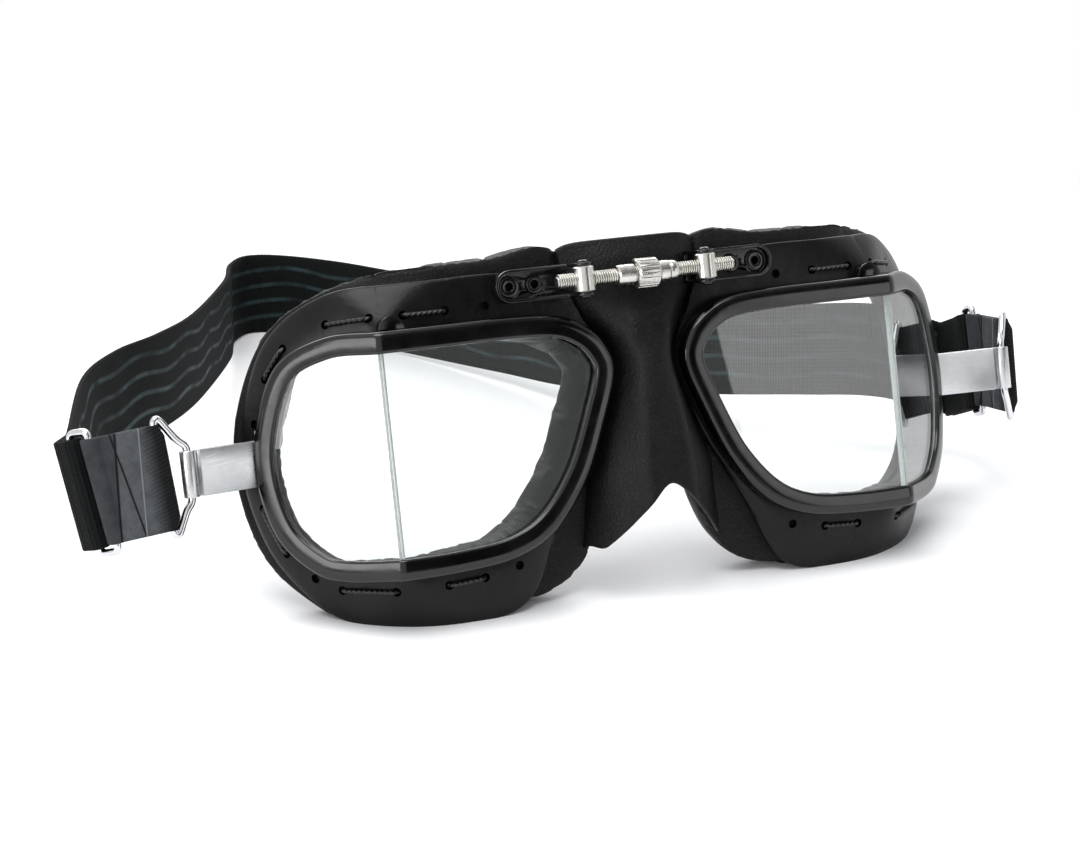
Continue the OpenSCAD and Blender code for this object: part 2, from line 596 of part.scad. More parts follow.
// Leather tab stitched round the loop's long bar and round the slider's near bar
tab_eye = wire_d / 2 + run_gap + tab_t;
tab_h = loop_len - 2 * wire_d - 1.2;
tab_bore = wire_d / 2 + run_gap;
leg_room = 2.6;
leg_taper = 1.9;
module tab_sleeve(solid, rise) {
    r = solid ? tab_eye : tab_bore;
    over = solid ? 0 : 1;
    low = tab_h / 2 - leg_room;
    far = low + leg_taper;
    if (solid)
        rotate_extrude($fn = fine) polygon([[0, -far], [tab_bore + 0.1, -far], [r, -low], [r, low], [tab_bore + 0.1, far], [0, far]]);
    else
        cylinder(h = tab_h + 2, r = r, center = true, $fn = fine);
    translate([tab_len, 0, rise]) rotate([0, slider_tilt, 0]) cylinder(h = tab_h + 2 * over, r = r, center = true, $fn = fine);
}
module strap_tab(side) {
    lean_out = tab_h / 2 * tan(slider_tilt);
    rise = of_side(tab_rise, side);
    color("#34363a") at_tab(side) difference() {
        union() {
            tab_sleeve(true, rise);
            translate([0, tab_t, 0]) rotate([90, 0, 0]) linear_extrude(2 * tab_t)
                polygon([[0.8, -tab_h / 2], [tab_len - lean_out, rise - tab_h / 2], [tab_len + lean_out, rise + tab_h / 2],
                    [0.8, tab_h / 2]]);
        }
        tab_sleeve(false, rise);
    }
}

// Wire slider: a closed oblong ring between the tab and the strap
module slider(side) {
    top = strap_w / 2 + 0.35 + wire_d / 2;
    corner = 0.7;
    half = [[0, 0, top - corner], [corner, 0, top], [slider_w - corner, 0, top], [slider_w, 0, top - corner]];
    color("#d2d4d6") at_slider(side)
        wire_ring(concat(half, [for (k = [3:-1:0]) [half[k][0], 0, -half[k][2]]]));
}

// The strap's end seen along the slider's far bar: the inner layer, the turn round the bar, the outer layer
strap_r = wire_d / 2 + 0.1 + strap_t / 2;
layer_gap = strap_t + 0.4;
fold_r = 2.7;
function bow(r, a) = r * [sin(a), -cos(a)];
function strap_end(side) =
    let (f = of_side(strap_fold, side), c = [of_side(fold_out, side), fold_r - layer_gap / 2], n = f > 0 ? 4 : 0,
         ahead = strap_return * [cos(f), sin(f)], ri = fold_r - layer_gap)
    concat([c + bow(ri, f) + ahead], [for (j = [n:-1:0]) c + bow(ri, n > 0 ? f * j / n : 0)],
           [for (a = [90:30:270]) strap_r * [cos(a), sin(a)]],
           [for (j = [0:n]) c + bow(fold_r, n > 0 ? f * j / n : 0)], [c + bow(fold_r, f) + ahead]);
function on_table(side, p) = rot_x(-lean) * [side * p[0], p[1], p[2]];
function end_rows(side) =
    let (axes = slider_axes(side), up = on_table(side, axes * [0, 0, 1]))
    [for (p = strap_end(side))
        [on_table(side, slider_end(side) + axes * [p[0], p[1], 0]) + [0, 0, rest_h] - up * strap_w / 2, up]];

// Route of the strap's lower edge over the table from left to right: across, back, up, then its lean across and back
route = [
    [-111, 84, 21.5, -0.12, 0.15], [-99, 108, 18, -0.08, 0.1], [-87, 128, 14.5, -0.04, 0.05], [-70, 158, 10.5, 0, 0],
    [-45, 213, 4.2, 0, 0], [-34, 244, 1, 0, 0], [-22.6, 255, 0, 0, 0], [-4, 240, 0, 0, 0], [12, 213, 0.7, 0, 0],
    [29, 173, 3.2, 0, 0], [42, 139, 6.2, 0, 0], [67, 102, 12, 0, 0.03], [84, 81, 15.8, 0, 0.08], [97, 62, 19, 0, 0.14]
];
function lift(r) = let (v = [r[3], r[4], 1]) [[r[0], r[1], max(r[2], 0)], v / norm(v)];
function strap_rows() =
    let (a = end_rows(-1), b = end_rows(1), m = len(b),
         knots = concat([a[len(a) - 2], a[len(a) - 1]], [for (r = route) lift(r)], [b[m - 1], b[m - 2]]), last = len(knots) - 3)
    concat([for (k = [0:len(a) - 2]) a[k]],
           [for (k = [1:last], j = [0:sub - 1])
               let (p = open_cubic([for (q = knots) q[0]], k, j / sub), u = open_cubic([for (q = knots) q[1]], k, j / sub))
               [[p[0], p[1], max(p[2], 0)], u / norm(u)]],
           [for (k = [m - 1:-1:0]) b[k]]);
module elastic_strap() {
    rows = strap_rows();
    n = len(rows);
    mids = [for (r = rows) r[0] + r[1] * strap_w / 2];
    points = [for (i = [0:n - 1])
        let (run = mids[min(i + 1, n - 1)] - mids[max(i - 1, 0)], up = rows[i][1], s = cross(run, up), side = s / norm(s) * strap_t / 2)
        each [rows[i][0] - side, rows[i][0] + side, rows[i][0] + up * strap_w + side, rows[i][0] + up * strap_w - side]];
    faces = concat(
        [[0, 2, 1], [0, 3, 2], [4 * n - 4, 4 * n - 3, 4 * n - 2], [4 * n - 4, 4 * n - 2, 4 * n - 1]],
        [for (i = [0:n - 2], j = [0:3]) let (a = 4 * i + j, b = 4 * i + (j + 1) % 4, c = b + 4, d = a + 4)
            each [[a, b, c], [a, c, d]]]);
    color("#1b1c1e") polyhedron(points, faces, convexity = 10);
}

lens_frame(-1);  // left_lens_frame
lens_frame(1);  // right_lens_frame
front_glass(-1);  // left_front_glass
front_glass(1);  // right_front_glass
side_glass(-1);  // left_side_glass
side_glass(1);  // right_side_glass
eyecup(-1);  // left_eyecup
eyecup(1);  // right_eyecup
vent_hood(-1);  // left_vent_hood
vent_hood(1);  // right_vent_hood
lacing(-1);  // left_lacing
lacing(1);  // right_lacing
face_cushion(-1);  // left_face_cushion
face_cushion(1);  // right_face_cushion
bracket(-1);  // left_bracket
bracket(1);  // right_bracket
eyelets(-1);  // left_eyelets
eyelets(1);  // right_eyelets
trunnion(-1);  // left_trunnion
trunnion(1);  // right_trunnion
bridge_screw();
thumb_wheel();
lock_collar();
nose_bridge();
strap_link(-1);  // left_strap_link
strap_link(1);  // right_strap_link
strap_loop(-1);  // left_strap_loop
strap_loop(1);  // right_strap_loop
strap_tab(-1);  // left_strap_tab
strap_tab(1);  // right_strap_tab
slider(-1);  // left_slider
slider(1);  // right_slider
elastic_strap();
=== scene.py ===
"""Split-lens racing goggles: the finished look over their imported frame.

Nearly every curved piece is swept round one outline. A place on an eyepiece is named by how far it lies along the
glass (s), how high (h) and how deep behind the front face (e). The front facet runs along x with its depth along y.
At the bend the second facet turns back by the wrap angle, and both meet in the plane that halves that angle. The
whole eyepiece then leans back by the lean angle about the x axis and is lifted onto the table.
"""
import bpy
import numpy as np
from mathutils import Matrix, Vector


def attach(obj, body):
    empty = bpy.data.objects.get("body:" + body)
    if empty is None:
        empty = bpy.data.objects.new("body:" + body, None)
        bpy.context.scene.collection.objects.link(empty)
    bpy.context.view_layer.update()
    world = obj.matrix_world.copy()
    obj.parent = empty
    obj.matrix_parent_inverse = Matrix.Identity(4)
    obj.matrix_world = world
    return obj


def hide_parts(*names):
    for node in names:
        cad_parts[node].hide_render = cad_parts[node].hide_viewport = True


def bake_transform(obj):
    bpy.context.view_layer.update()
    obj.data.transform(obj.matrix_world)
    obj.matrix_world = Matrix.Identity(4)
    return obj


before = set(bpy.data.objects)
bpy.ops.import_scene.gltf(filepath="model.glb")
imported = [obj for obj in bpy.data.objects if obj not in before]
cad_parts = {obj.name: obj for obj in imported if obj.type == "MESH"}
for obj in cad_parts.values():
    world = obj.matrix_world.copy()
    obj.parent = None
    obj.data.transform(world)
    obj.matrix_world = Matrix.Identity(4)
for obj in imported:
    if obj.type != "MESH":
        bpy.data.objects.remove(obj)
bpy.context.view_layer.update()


# %% [markdown]
# The part is drawn in millimetres, so this script works in millimetres too, and turns them to metres when a mesh is
# made. The sizes are those of the part's source, because a piece that replaces a solid has to lie where the solid is.
# %% Sizes in millimetres
LEAN, WRAP = np.radians(15.5), np.radians(43.0)
RIM_HALF, NOSE_X, BEND_X, SIDE_LEN = 29.0, 9.0, 67.5, 35.5
BAND_W, FRAME_D, SHEET_T, GLASS_T, GLASS_BITE, SEAT = 5.2, 5.6, 0.9, 1.8, 1.2, 0.12
FLANGE_T, FLANGE_TOP, FLANGE_SIDE, FLANGE_BOTTOM, FLANGE_DIP = 1.2, 10.5, 7.4, 13.2, 2.6
LACE_HOLE, LACE_OUT, LACE_D = 2.2, 3.0, 1.1
CUSHION_BACK, CUSHION_SIDE_BACK, ROLL_H = 24.0, 14.0, 4.0
TRUNNION_X, SCREW_H, SCREW_FORE = 15.9, 35.9, 2.0
THREAD_D, THREAD_PITCH, SCREW_LEN, BARREL_LEFT, BARREL_RIGHT = 3.4, 0.6, 46.0, 7.6, 5.8
EYELET_1, EYELET_2, EYELET_R = 10.0, 6.5, 1.5
POST_D, LINK_LEN, LINK_W, LINK_REST, LINK_H, RUN_GAP = 1.6, 19.6, 10.8, np.radians(16.5), 0.8, 0.05
WIRE_D, LOOP_LEN, LOOP_W, BAR_TILT = 1.8, 29.6, 6.4, np.radians(5)
TAB_LEN, TAB_T, SLIDER_W, SLIDER_TILT = 14.4, 1.1, 5.4, np.radians(4)
STRAP_W, STRAP_T, STRAP_RETURN = 26.0, 1.4, 12.0
LEATHER_T, LEATHER_TOP, ARCH_DROP, SEAM_X = 1.6, 44.4, 14.0, 17.8
GLASS_E = SHEET_T + 0.4
SEAT_E = GLASS_E + GLASS_T + SEAT
FLANGE_E = FRAME_D + 0.2
FLANGE_BACK = FLANGE_E + FLANGE_DIP + FLANGE_T
REST_H = (RIM_HALF + FLANGE_BOTTOM) * np.cos(LEAN) + (FLANGE_E + FLANGE_DIP) * np.sin(LEAN) - 0.5
SIDES = {"left": -1, "right": 1}
print("middle of the frames above the table:", round(float(REST_H), 2), "mm")

# %% [markdown]
# The outline of an eyepiece is a closed smooth curve through twenty places. A Catmull-Rom curve passes through each
# of its places, so the same list serves the solids and these finer meshes. Five more lists say how wide the flange
# is, how far it sweeps back, how far the leather stands out, how deep the cushion is and how far its inside keeps
# back from the glass, all at the same places.
# %% Outline of an eyepiece
RIM_PATH = np.array([
    [0, 0.465], [0.03, 0.69], [0.11, 0.86], [0.24, 0.97], [0.46, 1], [0.73, 1], [1, 1], [1.41, 0.995], [1.775, 0.8],
    [1.97, 0.31], [2, -0.14], [1.89, -0.6], [1.65, -0.89], [1.42, -0.98], [1, -1], [0.735, -0.995], [0.505, -0.94],
    [0.325, -0.76], [0.17, -0.386], [0.06, 0.1]])
from_bend = RIM_PATH[:, 0] - 1
RIM_MM = np.column_stack([BEND_X + from_bend * np.where(from_bend <= 0, BEND_X - NOSE_X, SIDE_LEN),
                          RIM_PATH[:, 1] * RIM_HALF])
FT, FS, FB = FLANGE_TOP, FLANGE_SIDE, FLANGE_BOTTOM
FLANGE_PATH = np.array([0.5, 0.5, 2.4, FT - 1, FT, FT, FT, FT - 0.6, FS + 0.8, FS, FS, FS, (FS + FB) * 0.44, FB * 0.87,
                        FB * 0.96, FB, FB * 0.96, 3, 0.5, 0.5])
DIP_PATH = np.array([0, 0, 0.1, 0.1, 0.2, 0.6, 1, 1, 1, 1, 1, 1, 1, 1, 1, 1, 0.9, 0.7, 0.2, 0])
CROWN_PATH = np.array([0.7, 1.2, 11, FT + ROLL_H + 2.2, FT + ROLL_H, FT + ROLL_H - 0.3, FT + ROLL_H - 0.9,
                       FT + ROLL_H - 2.8, FS + 3.2, FS + 3.6, FS + 3.8, FS + 3.8, FS + 3.8, FB * 0.95,
                       FB * 0.97, FB, FB, FB * 1.04, 8, 2.2])
CREST_PATH = np.array([0.85, 0.9, 0.95, 1, 1, 1, 0.85, 0.55, 0.2, 0.05, 0, 0.05, 0.3, 0.62, 0.85, 1, 1, 1, 0.9, 0.85])
RETREAT_PATH = np.array([0, 0, 0, 0.6, 2.4, 3.2, 3.6, 4, 4.4, 4.6, 4.6, 4.6, 4.4, 4, 3.6, 3.4, 2.6, 0.8, 0, 0])


def cubic(a, b, c, d, t):
    """Catmull-Rom: a cubic from b to c whose slope at each end is half the step between its neighbours."""
    return b + 0.5 * t * ((c - a) + t * ((2 * a - 5 * b + 4 * c - d) + t * (3 * (b - c) + d - a)))


def unit(v):
    """Each vector divided by its length."""
    return v / np.linalg.norm(v, axis=-1, keepdims=True)


def closed_curve(values, t):
    """The closed curve through the values; t counts them, so t = 2.5 is halfway from the third to the fourth."""
    k = np.floor(t).astype(int)
    u = (t - k).reshape(-1, *[1] * (values.ndim - 1))
    return cubic(*[values[(k + j) % len(values)] for j in (-1, 0, 1, 2)], u)


def rim(t):
    return closed_curve(RIM_MM, t)


def outward(t):
    """The direction out of the outline: its tangent turned by a right angle."""
    d = rim(t + 0.12) - rim(t - 0.12)
    return unit(np.column_stack([-d[:, 1], d[:, 0]]))


PER_SPAN = 16
T = np.arange(len(RIM_PATH) * PER_SPAN) / PER_SPAN
RIM, OUT = rim(T), outward(T)
flange_w, dip, crown_w, crest, retreat = (
    closed_curve(p, T) for p in (FLANGE_PATH, DIP_PATH, CROWN_PATH, CREST_PATH, RETREAT_PATH))
crest_e = CUSHION_SIDE_BACK + (CUSHION_BACK - CUSHION_SIDE_BACK) * crest
print("stations round the outline:", len(T))

# %% [markdown]
# A bend in sheet metal isn't a mathematical crease. Each depth gets its own bent line here: straight, then a short
# curve of a given radius, then straight again. Deeper lines are shorter inside the bend, so the stations close up
# smoothly towards it instead of crossing.
# %% From the outline to the table


def place(s, h, e, base, radius=0.8):
    """Corner line of depth e, plus the distance from it along a facet, rounded by a quadratic curve near the bend."""
    side = base > BEND_X
    mitre = np.maximum(e, 0) * np.tan(WRAP / 2)
    run = np.abs(s - BEND_X)
    run = np.maximum(run - mitre * (1 - np.exp(-run / np.maximum(mitre, 1e-6))), 0)
    t = np.clip(0.5 + np.where(side, run, -run) / (2 * radius), 0, 1)
    near = run < radius
    x = np.where(near, radius * (np.cos(WRAP) * t ** 2 - (1 - t) ** 2), np.where(side, run * np.cos(WRAP), -run))
    y = np.where(near, radius * np.sin(WRAP) * t ** 2, np.where(side, run * np.sin(WRAP), 0.0))
    corner_x = BEND_X - np.where(e > 0, mitre, e * np.tan(WRAP / 2))
    return np.stack([corner_x + x, e + y, h + 0 * x], -1)


def fold_radius(out):
    """The pressed flange folds sharply at the rim and ever more softly away from it."""
    return 1.5 + 14 * np.clip(out / 11, 0, 1)


def smooth_step(x):
    """0 below 0, 1 above 1, and between them a curve that starts and ends level."""
    x = np.clip(x, 0, 1)
    return x * x * (3 - 2 * x)


def place_soft(s, h, e, base, out):
    """The same up to the flange's back; beyond it the depth turns gradually round the bend, as padding does."""
    p = place(s, h, np.minimum(e, FLANGE_BACK), base, fold_radius(out) + 1.5)
    turn = WRAP * smooth_step((base - BEND_X + 24) / 52)
    more = np.maximum(e - FLANGE_BACK, 0)
    return p + np.stack([-more * np.sin(turn), more * np.cos(turn), 0 * more], -1)


def on_table(p, side):
    """Upright millimetres of the right eyepiece to metres on the table: mirrored for the left, leaned and lifted."""
    p = np.asarray(p, float)
    x, y, z = p[..., 0] * side, p[..., 1], p[..., 2]
    return np.stack([x, y * np.cos(LEAN) + z * np.sin(LEAN), z * np.cos(LEAN) - y * np.sin(LEAN) + REST_H], -1) / 1000


def direction(d, side):
    return (on_table(d, side) - on_table([0, 0, 0], side)) * 1000


# %% [markdown]
# All new meshes come from grids of points worked out as whole arrays. One function joins neighbouring points with
# quads, closes the ends where asked, and measures the volume: where that is negative the faces point inwards, so
# they are turned. The UV map holds the distance along and across in metres, which lets a weave follow the piece.
# %% Meshes from grids


def solid_mesh(name, points, loops, sizes, uv, material, sharp=None):
    """A mesh from flat arrays: points, the points' numbers face after face, and how many points each face has."""
    me = bpy.data.meshes.new(name)
    me.vertices.add(len(points))
    me.vertices.foreach_set("co", np.ascontiguousarray(points, dtype=float).ravel())
    me.loops.add(len(loops))
    me.loops.foreach_set("vertex_index", loops)
    me.polygons.add(len(sizes))
    me.polygons.foreach_set("loop_start", np.concatenate([[0], np.cumsum(sizes)[:-1]]))
    me.polygons.foreach_set("use_smooth", np.full(len(sizes), True))
    me.update(calc_edges=True)
    me.validate()
    if uv is not None:
        me.uv_layers.new(name="UVMap").data.foreach_set("uv", uv.ravel())
    if sharp:
        me.set_sharp_from_angle(angle=np.radians(sharp))
    me.materials.append(material)
    ob = bpy.data.objects.new(name, me)
    bpy.context.scene.collection.objects.link(ob)
    return ob


def length_along(path):
    """The distance from the first point of a path to each of its points."""
    return np.cumsum(np.linalg.norm(np.diff(path, axis=0, prepend=path[:1]), axis=1))


def grid_piece(name, grid, material, wrap_i=False, wrap_j=True, sharp=None, start=0.0):
    """Quads between grid[i, j] and its neighbours. Open ends along i are closed with a fan of triangles."""
    n, m = grid.shape[:2]
    ext = np.concatenate([grid, grid[:1]], 0) if wrap_i else grid
    ext = np.concatenate([ext, ext[:, :1]], 1) if wrap_j else ext
    middle = ext.mean(1)
    along = start + length_along(middle)
    across = np.cumsum(np.linalg.norm(np.diff(ext, axis=1, prepend=ext[:, :1]), axis=2), axis=1)
    uv = np.stack([np.broadcast_to(along[:, None], across.shape), across], -1)
    i, j = np.meshgrid(np.arange(len(ext) - 1), np.arange(ext.shape[1] - 1), indexing="ij")
    corner = np.stack([np.stack([i, i + 1, i + 1, i], -1), np.stack([j, j, j + 1, j + 1], -1)], -1).reshape(-1, 4, 2)
    points = grid.reshape(-1, 3)
    quad = (corner[..., 0] % n) * m + corner[..., 1] % m
    quad_uv = uv[corner[..., 0], corner[..., 1]]
    faces, sizes, face_uv = [quad], [np.full(len(quad), 4)], [quad_uv]
    if not wrap_i and wrap_j:
        k = np.arange(m)
        for row, hub in ((0, len(points)), (n - 1, len(points) + 1)):
            a, b = row * m + k, row * m + (k + 1) % m
            fan = np.stack([a, b, np.full(m, hub)] if row == 0 else [b, a, np.full(m, hub)], -1)
            faces.append(fan)
            sizes.append(np.full(m, 3))
            face_uv.append(np.broadcast_to(uv[row, 0], (m, 3, 2)))
        points = np.concatenate([points, grid[[0, n - 1]].mean(1)])
    p = points - points.mean(0)
    a, b, c, d = (p[quad[:, q]] for q in range(4))
    volume = np.sum(a * np.cross(b, c)) + np.sum(a * np.cross(c, d))
    turn = -1 if volume < 0 else 1
    loops = np.concatenate([f[:, ::turn].ravel() for f in faces])
    loop_uv = np.concatenate([u[:, ::turn].reshape(-1, 2) for u in face_uv])
    return solid_mesh(name, points, loops, np.concatenate(sizes), loop_uv, material, sharp)


def tube(name, path, radius, material, closed=False, sides=16, normal=None):
    """A round bar along a path in metres; each ring is square to the path. Radius may change along it."""
    p = np.asarray(path, float)
    d = unit(np.roll(p, -1, 0) - np.roll(p, 1, 0) if closed else np.gradient(p, axis=0))
    a = unit(np.cross(d, np.array([0.31, 0.9, 0.3]) if normal is None else normal))
    b = np.cross(d, a)
    th = np.arange(sides) * 2 * np.pi / sides
    r = np.broadcast_to(np.asarray(radius, float), len(p))[:, None, None]
    rings = p[:, None] + r * (np.cos(th)[:, None] * a[:, None] + np.sin(th)[:, None] * b[:, None])
    return grid_piece(name, rings, material, wrap_i=closed)


def curve_through(points, steps, closed=False):
    """A smooth line through the points, with that many steps between two of them."""
    p = np.asarray(points, float)
    t = np.arange(0, (len(p) if closed else len(p) - 1) * steps + (0 if closed else 1)) / steps
    if closed:
        return closed_curve(p, t)
    k = np.minimum(np.floor(t).astype(int), len(p) - 2)
    e = np.concatenate([2 * p[:1] - p[1:2], p, 2 * p[-1:] - p[-2:-1]])
    return cubic(e[k], e[k + 1], e[k + 2], e[k + 3], (t - k)[:, None])


def rounded_ring(points, radius, steps=7):
    """A closed path whose corners are cut by quadratic curves that start one radius before each corner."""
    p = np.asarray(points, float)
    a, c = np.roll(p, 1, 0), np.roll(p, -1, 0)
    la, lc = np.linalg.norm(a - p, axis=1)[:, None], np.linalg.norm(c - p, axis=1)[:, None]
    s, e = p + (a - p) / la * np.minimum(radius, la * 0.48), p + (c - p) / lc * np.minimum(radius, lc * 0.48)
    t = np.linspace(0, 1, steps)[None, :, None]
    path = ((1 - t) ** 2 * s[:, None] + 2 * t * (1 - t) * p[:, None] + t ** 2 * e[:, None]).reshape(-1, 3)
    run = length_along(np.vstack([path, path[:1]]))
    at = np.linspace(0, run[-1], 180, endpoint=False)
    return np.column_stack([np.interp(at, run, np.append(path[:, k], path[0, k])) for k in range(3)])


def carve(ob, points, faces):
    """Takes away what lies in a set of closed shapes, then keeps the result as a plain mesh."""
    me = bpy.data.meshes.new("cutter")
    me.from_pydata([tuple(p) for p in points], [], [list(f) for f in faces])
    cutter = bpy.data.objects.new("cutter", me)
    bpy.context.scene.collection.objects.link(cutter)
    mod = ob.modifiers.new("holes", "BOOLEAN")
    mod.object, mod.operation, mod.solver = cutter, "DIFFERENCE", "EXACT"
    done = bpy.data.meshes.new_from_object(ob.evaluated_get(bpy.context.evaluated_depsgraph_get()))
    ob.modifiers.clear()
    ob.data = done
    bpy.data.objects.remove(cutter)
    done.set_sharp_from_angle(angle=np.radians(40))
    return ob


def prism_faces(n, first=0):
    """Faces of a prism whose lower ring of n points starts at the point first, and whose upper ring follows it."""
    low, high = list(range(first, first + n)), list(range(first + n, first + 2 * n))
    return [[low[q], low[(q + 1) % n], high[(q + 1) % n], high[q]] for q in range(n)] + [low[::-1], high]


def prisms(centres, axes, radius, back, ahead, sides=24):
    """Round drills: for each centre and axis a closed prism from back to ahead. Faces point outwards."""
    points, faces = [], []
    th = np.arange(sides) * 2 * np.pi / sides
    for c, d in zip(np.asarray(centres), unit(np.asarray(axes))):
        a = unit(np.cross(d, [0.1, 0.2, 0.97]))
        b = np.cross(d, a)
        ring = radius * (np.cos(th)[:, None] * a + np.sin(th)[:, None] * b)
        faces += prism_faces(sides, len(points) * 2 * sides)
        points.append(np.concatenate([c + ring - d * back, c + ring + d * ahead]))
    return np.concatenate(points), faces


def dress(ob, body, slot, *nodes):
    """A finished piece rides on its body and hides the solids that it stands for. Its slot is not used."""
    print(f"{ob.name}: {len(ob.data.polygons)} faces, on {body}")
    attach(ob, body)
    if nodes:
        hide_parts(*nodes)
    return ob


# %% [markdown]
# A material is a small graph of nodes. One function adds a node, and a colour is written as the hex value that a
# paint chart or a picture would give, turned into the linear numbers that the renderer works with.
# %% Nodes and colours


def linear(code):
    """sRGB hex to linear: a short straight piece near black, and a power of 2.4 above it."""
    v = np.array([int(code[i:i + 2], 16) for i in (1, 3, 5)]) / 255
    v = np.where(v <= 0.04045, v / 12.92, ((v + 0.055) / 1.055) ** 2.4)
    return (*[float(x) for x in v], 1.0)


def add(tree, kind, out=0, **values):
    """Adds one node and returns an output of it, or all for None. A name in small letters is a setting. A socket is
    named with _ for a space, or as n and its number, and is linked where the value is another node's output."""
    node = tree.nodes.new("ShaderNode" + kind)
    for key, value in values.items():
        if key[0].islower() and not key[1:].isdigit():
            setattr(node, key, value)
            continue
        socket = node.inputs[int(key[1:]) if key[1:].isdigit() else key.replace("_", " ")]
        if isinstance(value, bpy.types.NodeSocket):
            tree.links.new(value, socket)
        else:
            socket.default_value = value
    return node.outputs if out is None else node.outputs[out]


def empty_tree(owner):
    """The node tree of a material or world, without the nodes that it comes with."""
    owner.use_nodes = True
    owner.node_tree.nodes.clear()
    return owner.node_tree


def new_finish(name):
    """A new material, its empty node tree, and coordinates in millimetres on the piece."""
    mat = bpy.data.materials.new(name)
    tree = empty_tree(mat)
    return mat, tree, add(tree, "Mapping", n0=add(tree, "TexCoord", "Object"), Scale=(1000, 1000, 1000))


def close_finish(tree, **sockets):
    add(tree, "OutputMaterial", None, Surface=add(tree, "BsdfPrincipled", **sockets))


def between(tree, value, low, high, a, b):
    """Runs from a to b while the value rises from low to high; colours are mixed and numbers mapped."""
    if isinstance(a, tuple) or isinstance(b, tuple):
        t = add(tree, "MapRange", n0=value, n1=low, n2=high)
        return add(tree, "Mix", 2, data_type="RGBA", n0=t, n6=a, n7=b)
    return add(tree, "MapRange", n0=value, n1=low, n2=high, n3=a, n4=b)


def ripple(tree, value, length, shift=0.0):
    """A sine along the value with one wave in each length; shift is its phase in radians."""
    phase = add(tree, "Math", operation="MULTIPLY_ADD", n0=value, n1=2 * np.pi / length, n2=shift)
    return add(tree, "Math", operation="SINE", n0=phase)


# %% [markdown]
# The lens frames, hoods and brackets are steel with baked black enamel. Enamel flows a little before it sets, which
# gives the reflections a faint orange peel of about 3 mm. Handling dulls it in patches.
# %% Black baked enamel
ENAMEL, tree, mm = new_finish("black_baked_enamel_on_steel")
peel = add(tree, "TexNoise", Vector=mm, Scale=0.33, Detail=2.0)
rubbed = add(tree, "TexNoise", Vector=mm, Scale=0.08, Detail=6.0, Roughness=0.7)
close_finish(tree, Base_Color=between(tree, rubbed, 0.35, 0.75, linear("#050506"), linear("#0b0b0c")),
             Roughness=between(tree, rubbed, 0.35, 0.7, 0.1, 0.22),
             Normal=add(tree, "Bump", Height=peel, Distance=0.00004, Strength=0.4))

# %% [markdown]
# The flange of the eyecup is pressed fibre board with a satin black lacquer. Its face is slightly wavy, so that the
# light slides over it in soft patches, and it has a grain of about half a millimetre.
# %% Satin black flange
FLANGE, tree, mm = new_finish("satin_black_lacquered_flange")
wave = add(tree, "TexNoise", Vector=mm, Scale=0.1, Detail=4.0, Roughness=0.6)
grain = add(tree, "TexNoise", Vector=mm, Scale=2.0, Detail=3.0)
wavy = add(tree, "Bump", Height=wave, Distance=0.0006, Strength=0.5)
close_finish(tree, Base_Color=between(tree, wave, 0.3, 0.75, linear("#070708"), linear("#101011")),
             Roughness=between(tree, wave, 0.3, 0.7, 0.26, 0.38), Specular_IOR_Level=0.22,
             Normal=add(tree, "Bump", Height=grain, Distance=0.00005, Strength=0.3, Normal=wavy))

# %% [markdown]
# The cushions and the nose piece are thin black leather. Leather is a field of small pebbles with creases between
# them: a Voronoi pattern of cells 0.9 mm wide, bent by noise, gives both. A broad wave adds the uneven dye.
# %% Black grained leather
LEATHER, tree, mm = new_finish("black_grained_leather")
bend = add(tree, "TexNoise", "Color", Vector=mm, Scale=0.6)
bent = add(tree, "Mix", 1, data_type="VECTOR", n0=0.1, n4=mm, n5=bend)
cells = add(tree, "TexVoronoi", feature="DISTANCE_TO_EDGE", Vector=bent, Scale=1.1)
pebble = add(tree, "MapRange", n0=cells, n1=0.0, n2=0.25)
dye = add(tree, "TexNoise", Vector=mm, Scale=0.08, Detail=5.0, Roughness=0.6)
pore = add(tree, "TexNoise", Vector=mm, Scale=3.4, Detail=3.0, Roughness=0.6)
top = between(tree, dye, 0.3, 0.75, linear("#0c0c0d"), linear("#161617"))
shape = add(tree, "Bump", Height=pore, Distance=0.00004, Strength=0.4,
            Normal=add(tree, "Bump", Height=pebble, Distance=0.0001, Strength=0.5,
                       Normal=add(tree, "Bump", Height=dye, Distance=0.0006, Strength=0.4)))
# The creases between the pebbles are near black: partly the grain's own darker tone, partly painted shade in the
# creases.
close_finish(tree, Base_Color=between(tree, pebble, 0, 1, linear("#050505"), top),
             Roughness=between(tree, dye, 0.3, 0.7, 0.4, 0.54), Specular_IOR_Level=0.18, Normal=shape)

# %% [markdown]
# The lenses are clear laminated glass. A renderer traces no light through solid glass onto the table without caustics,
# so rays from the lamps see it as clear and only slightly grey. The ground edges get their own finish further down.
# %% Clear glass
GLASS = bpy.data.materials.new("clear_laminated_glass")
tree = empty_tree(GLASS)
clear = add(tree, "BsdfPrincipled", Base_Color=linear("#f5f8f7"), Roughness=0.0, IOR=1.5, Transmission_Weight=1.0)
let_through = add(tree, "BsdfTransparent", Color=(0.9, 0.91, 0.91, 1))
add(tree, "OutputMaterial", None,
    Surface=add(tree, "MixShader", n0=add(tree, "LightPath", "Is Shadow Ray"), n1=clear, n2=let_through))

# %% [markdown]
# The small metal parts are plated or bare steel. Nickel plate is slightly warm and clouds with age, the link is
# satin strip with fine lines, and the wire is chromed. All three are the same graph with other numbers.
# %% Plated metals


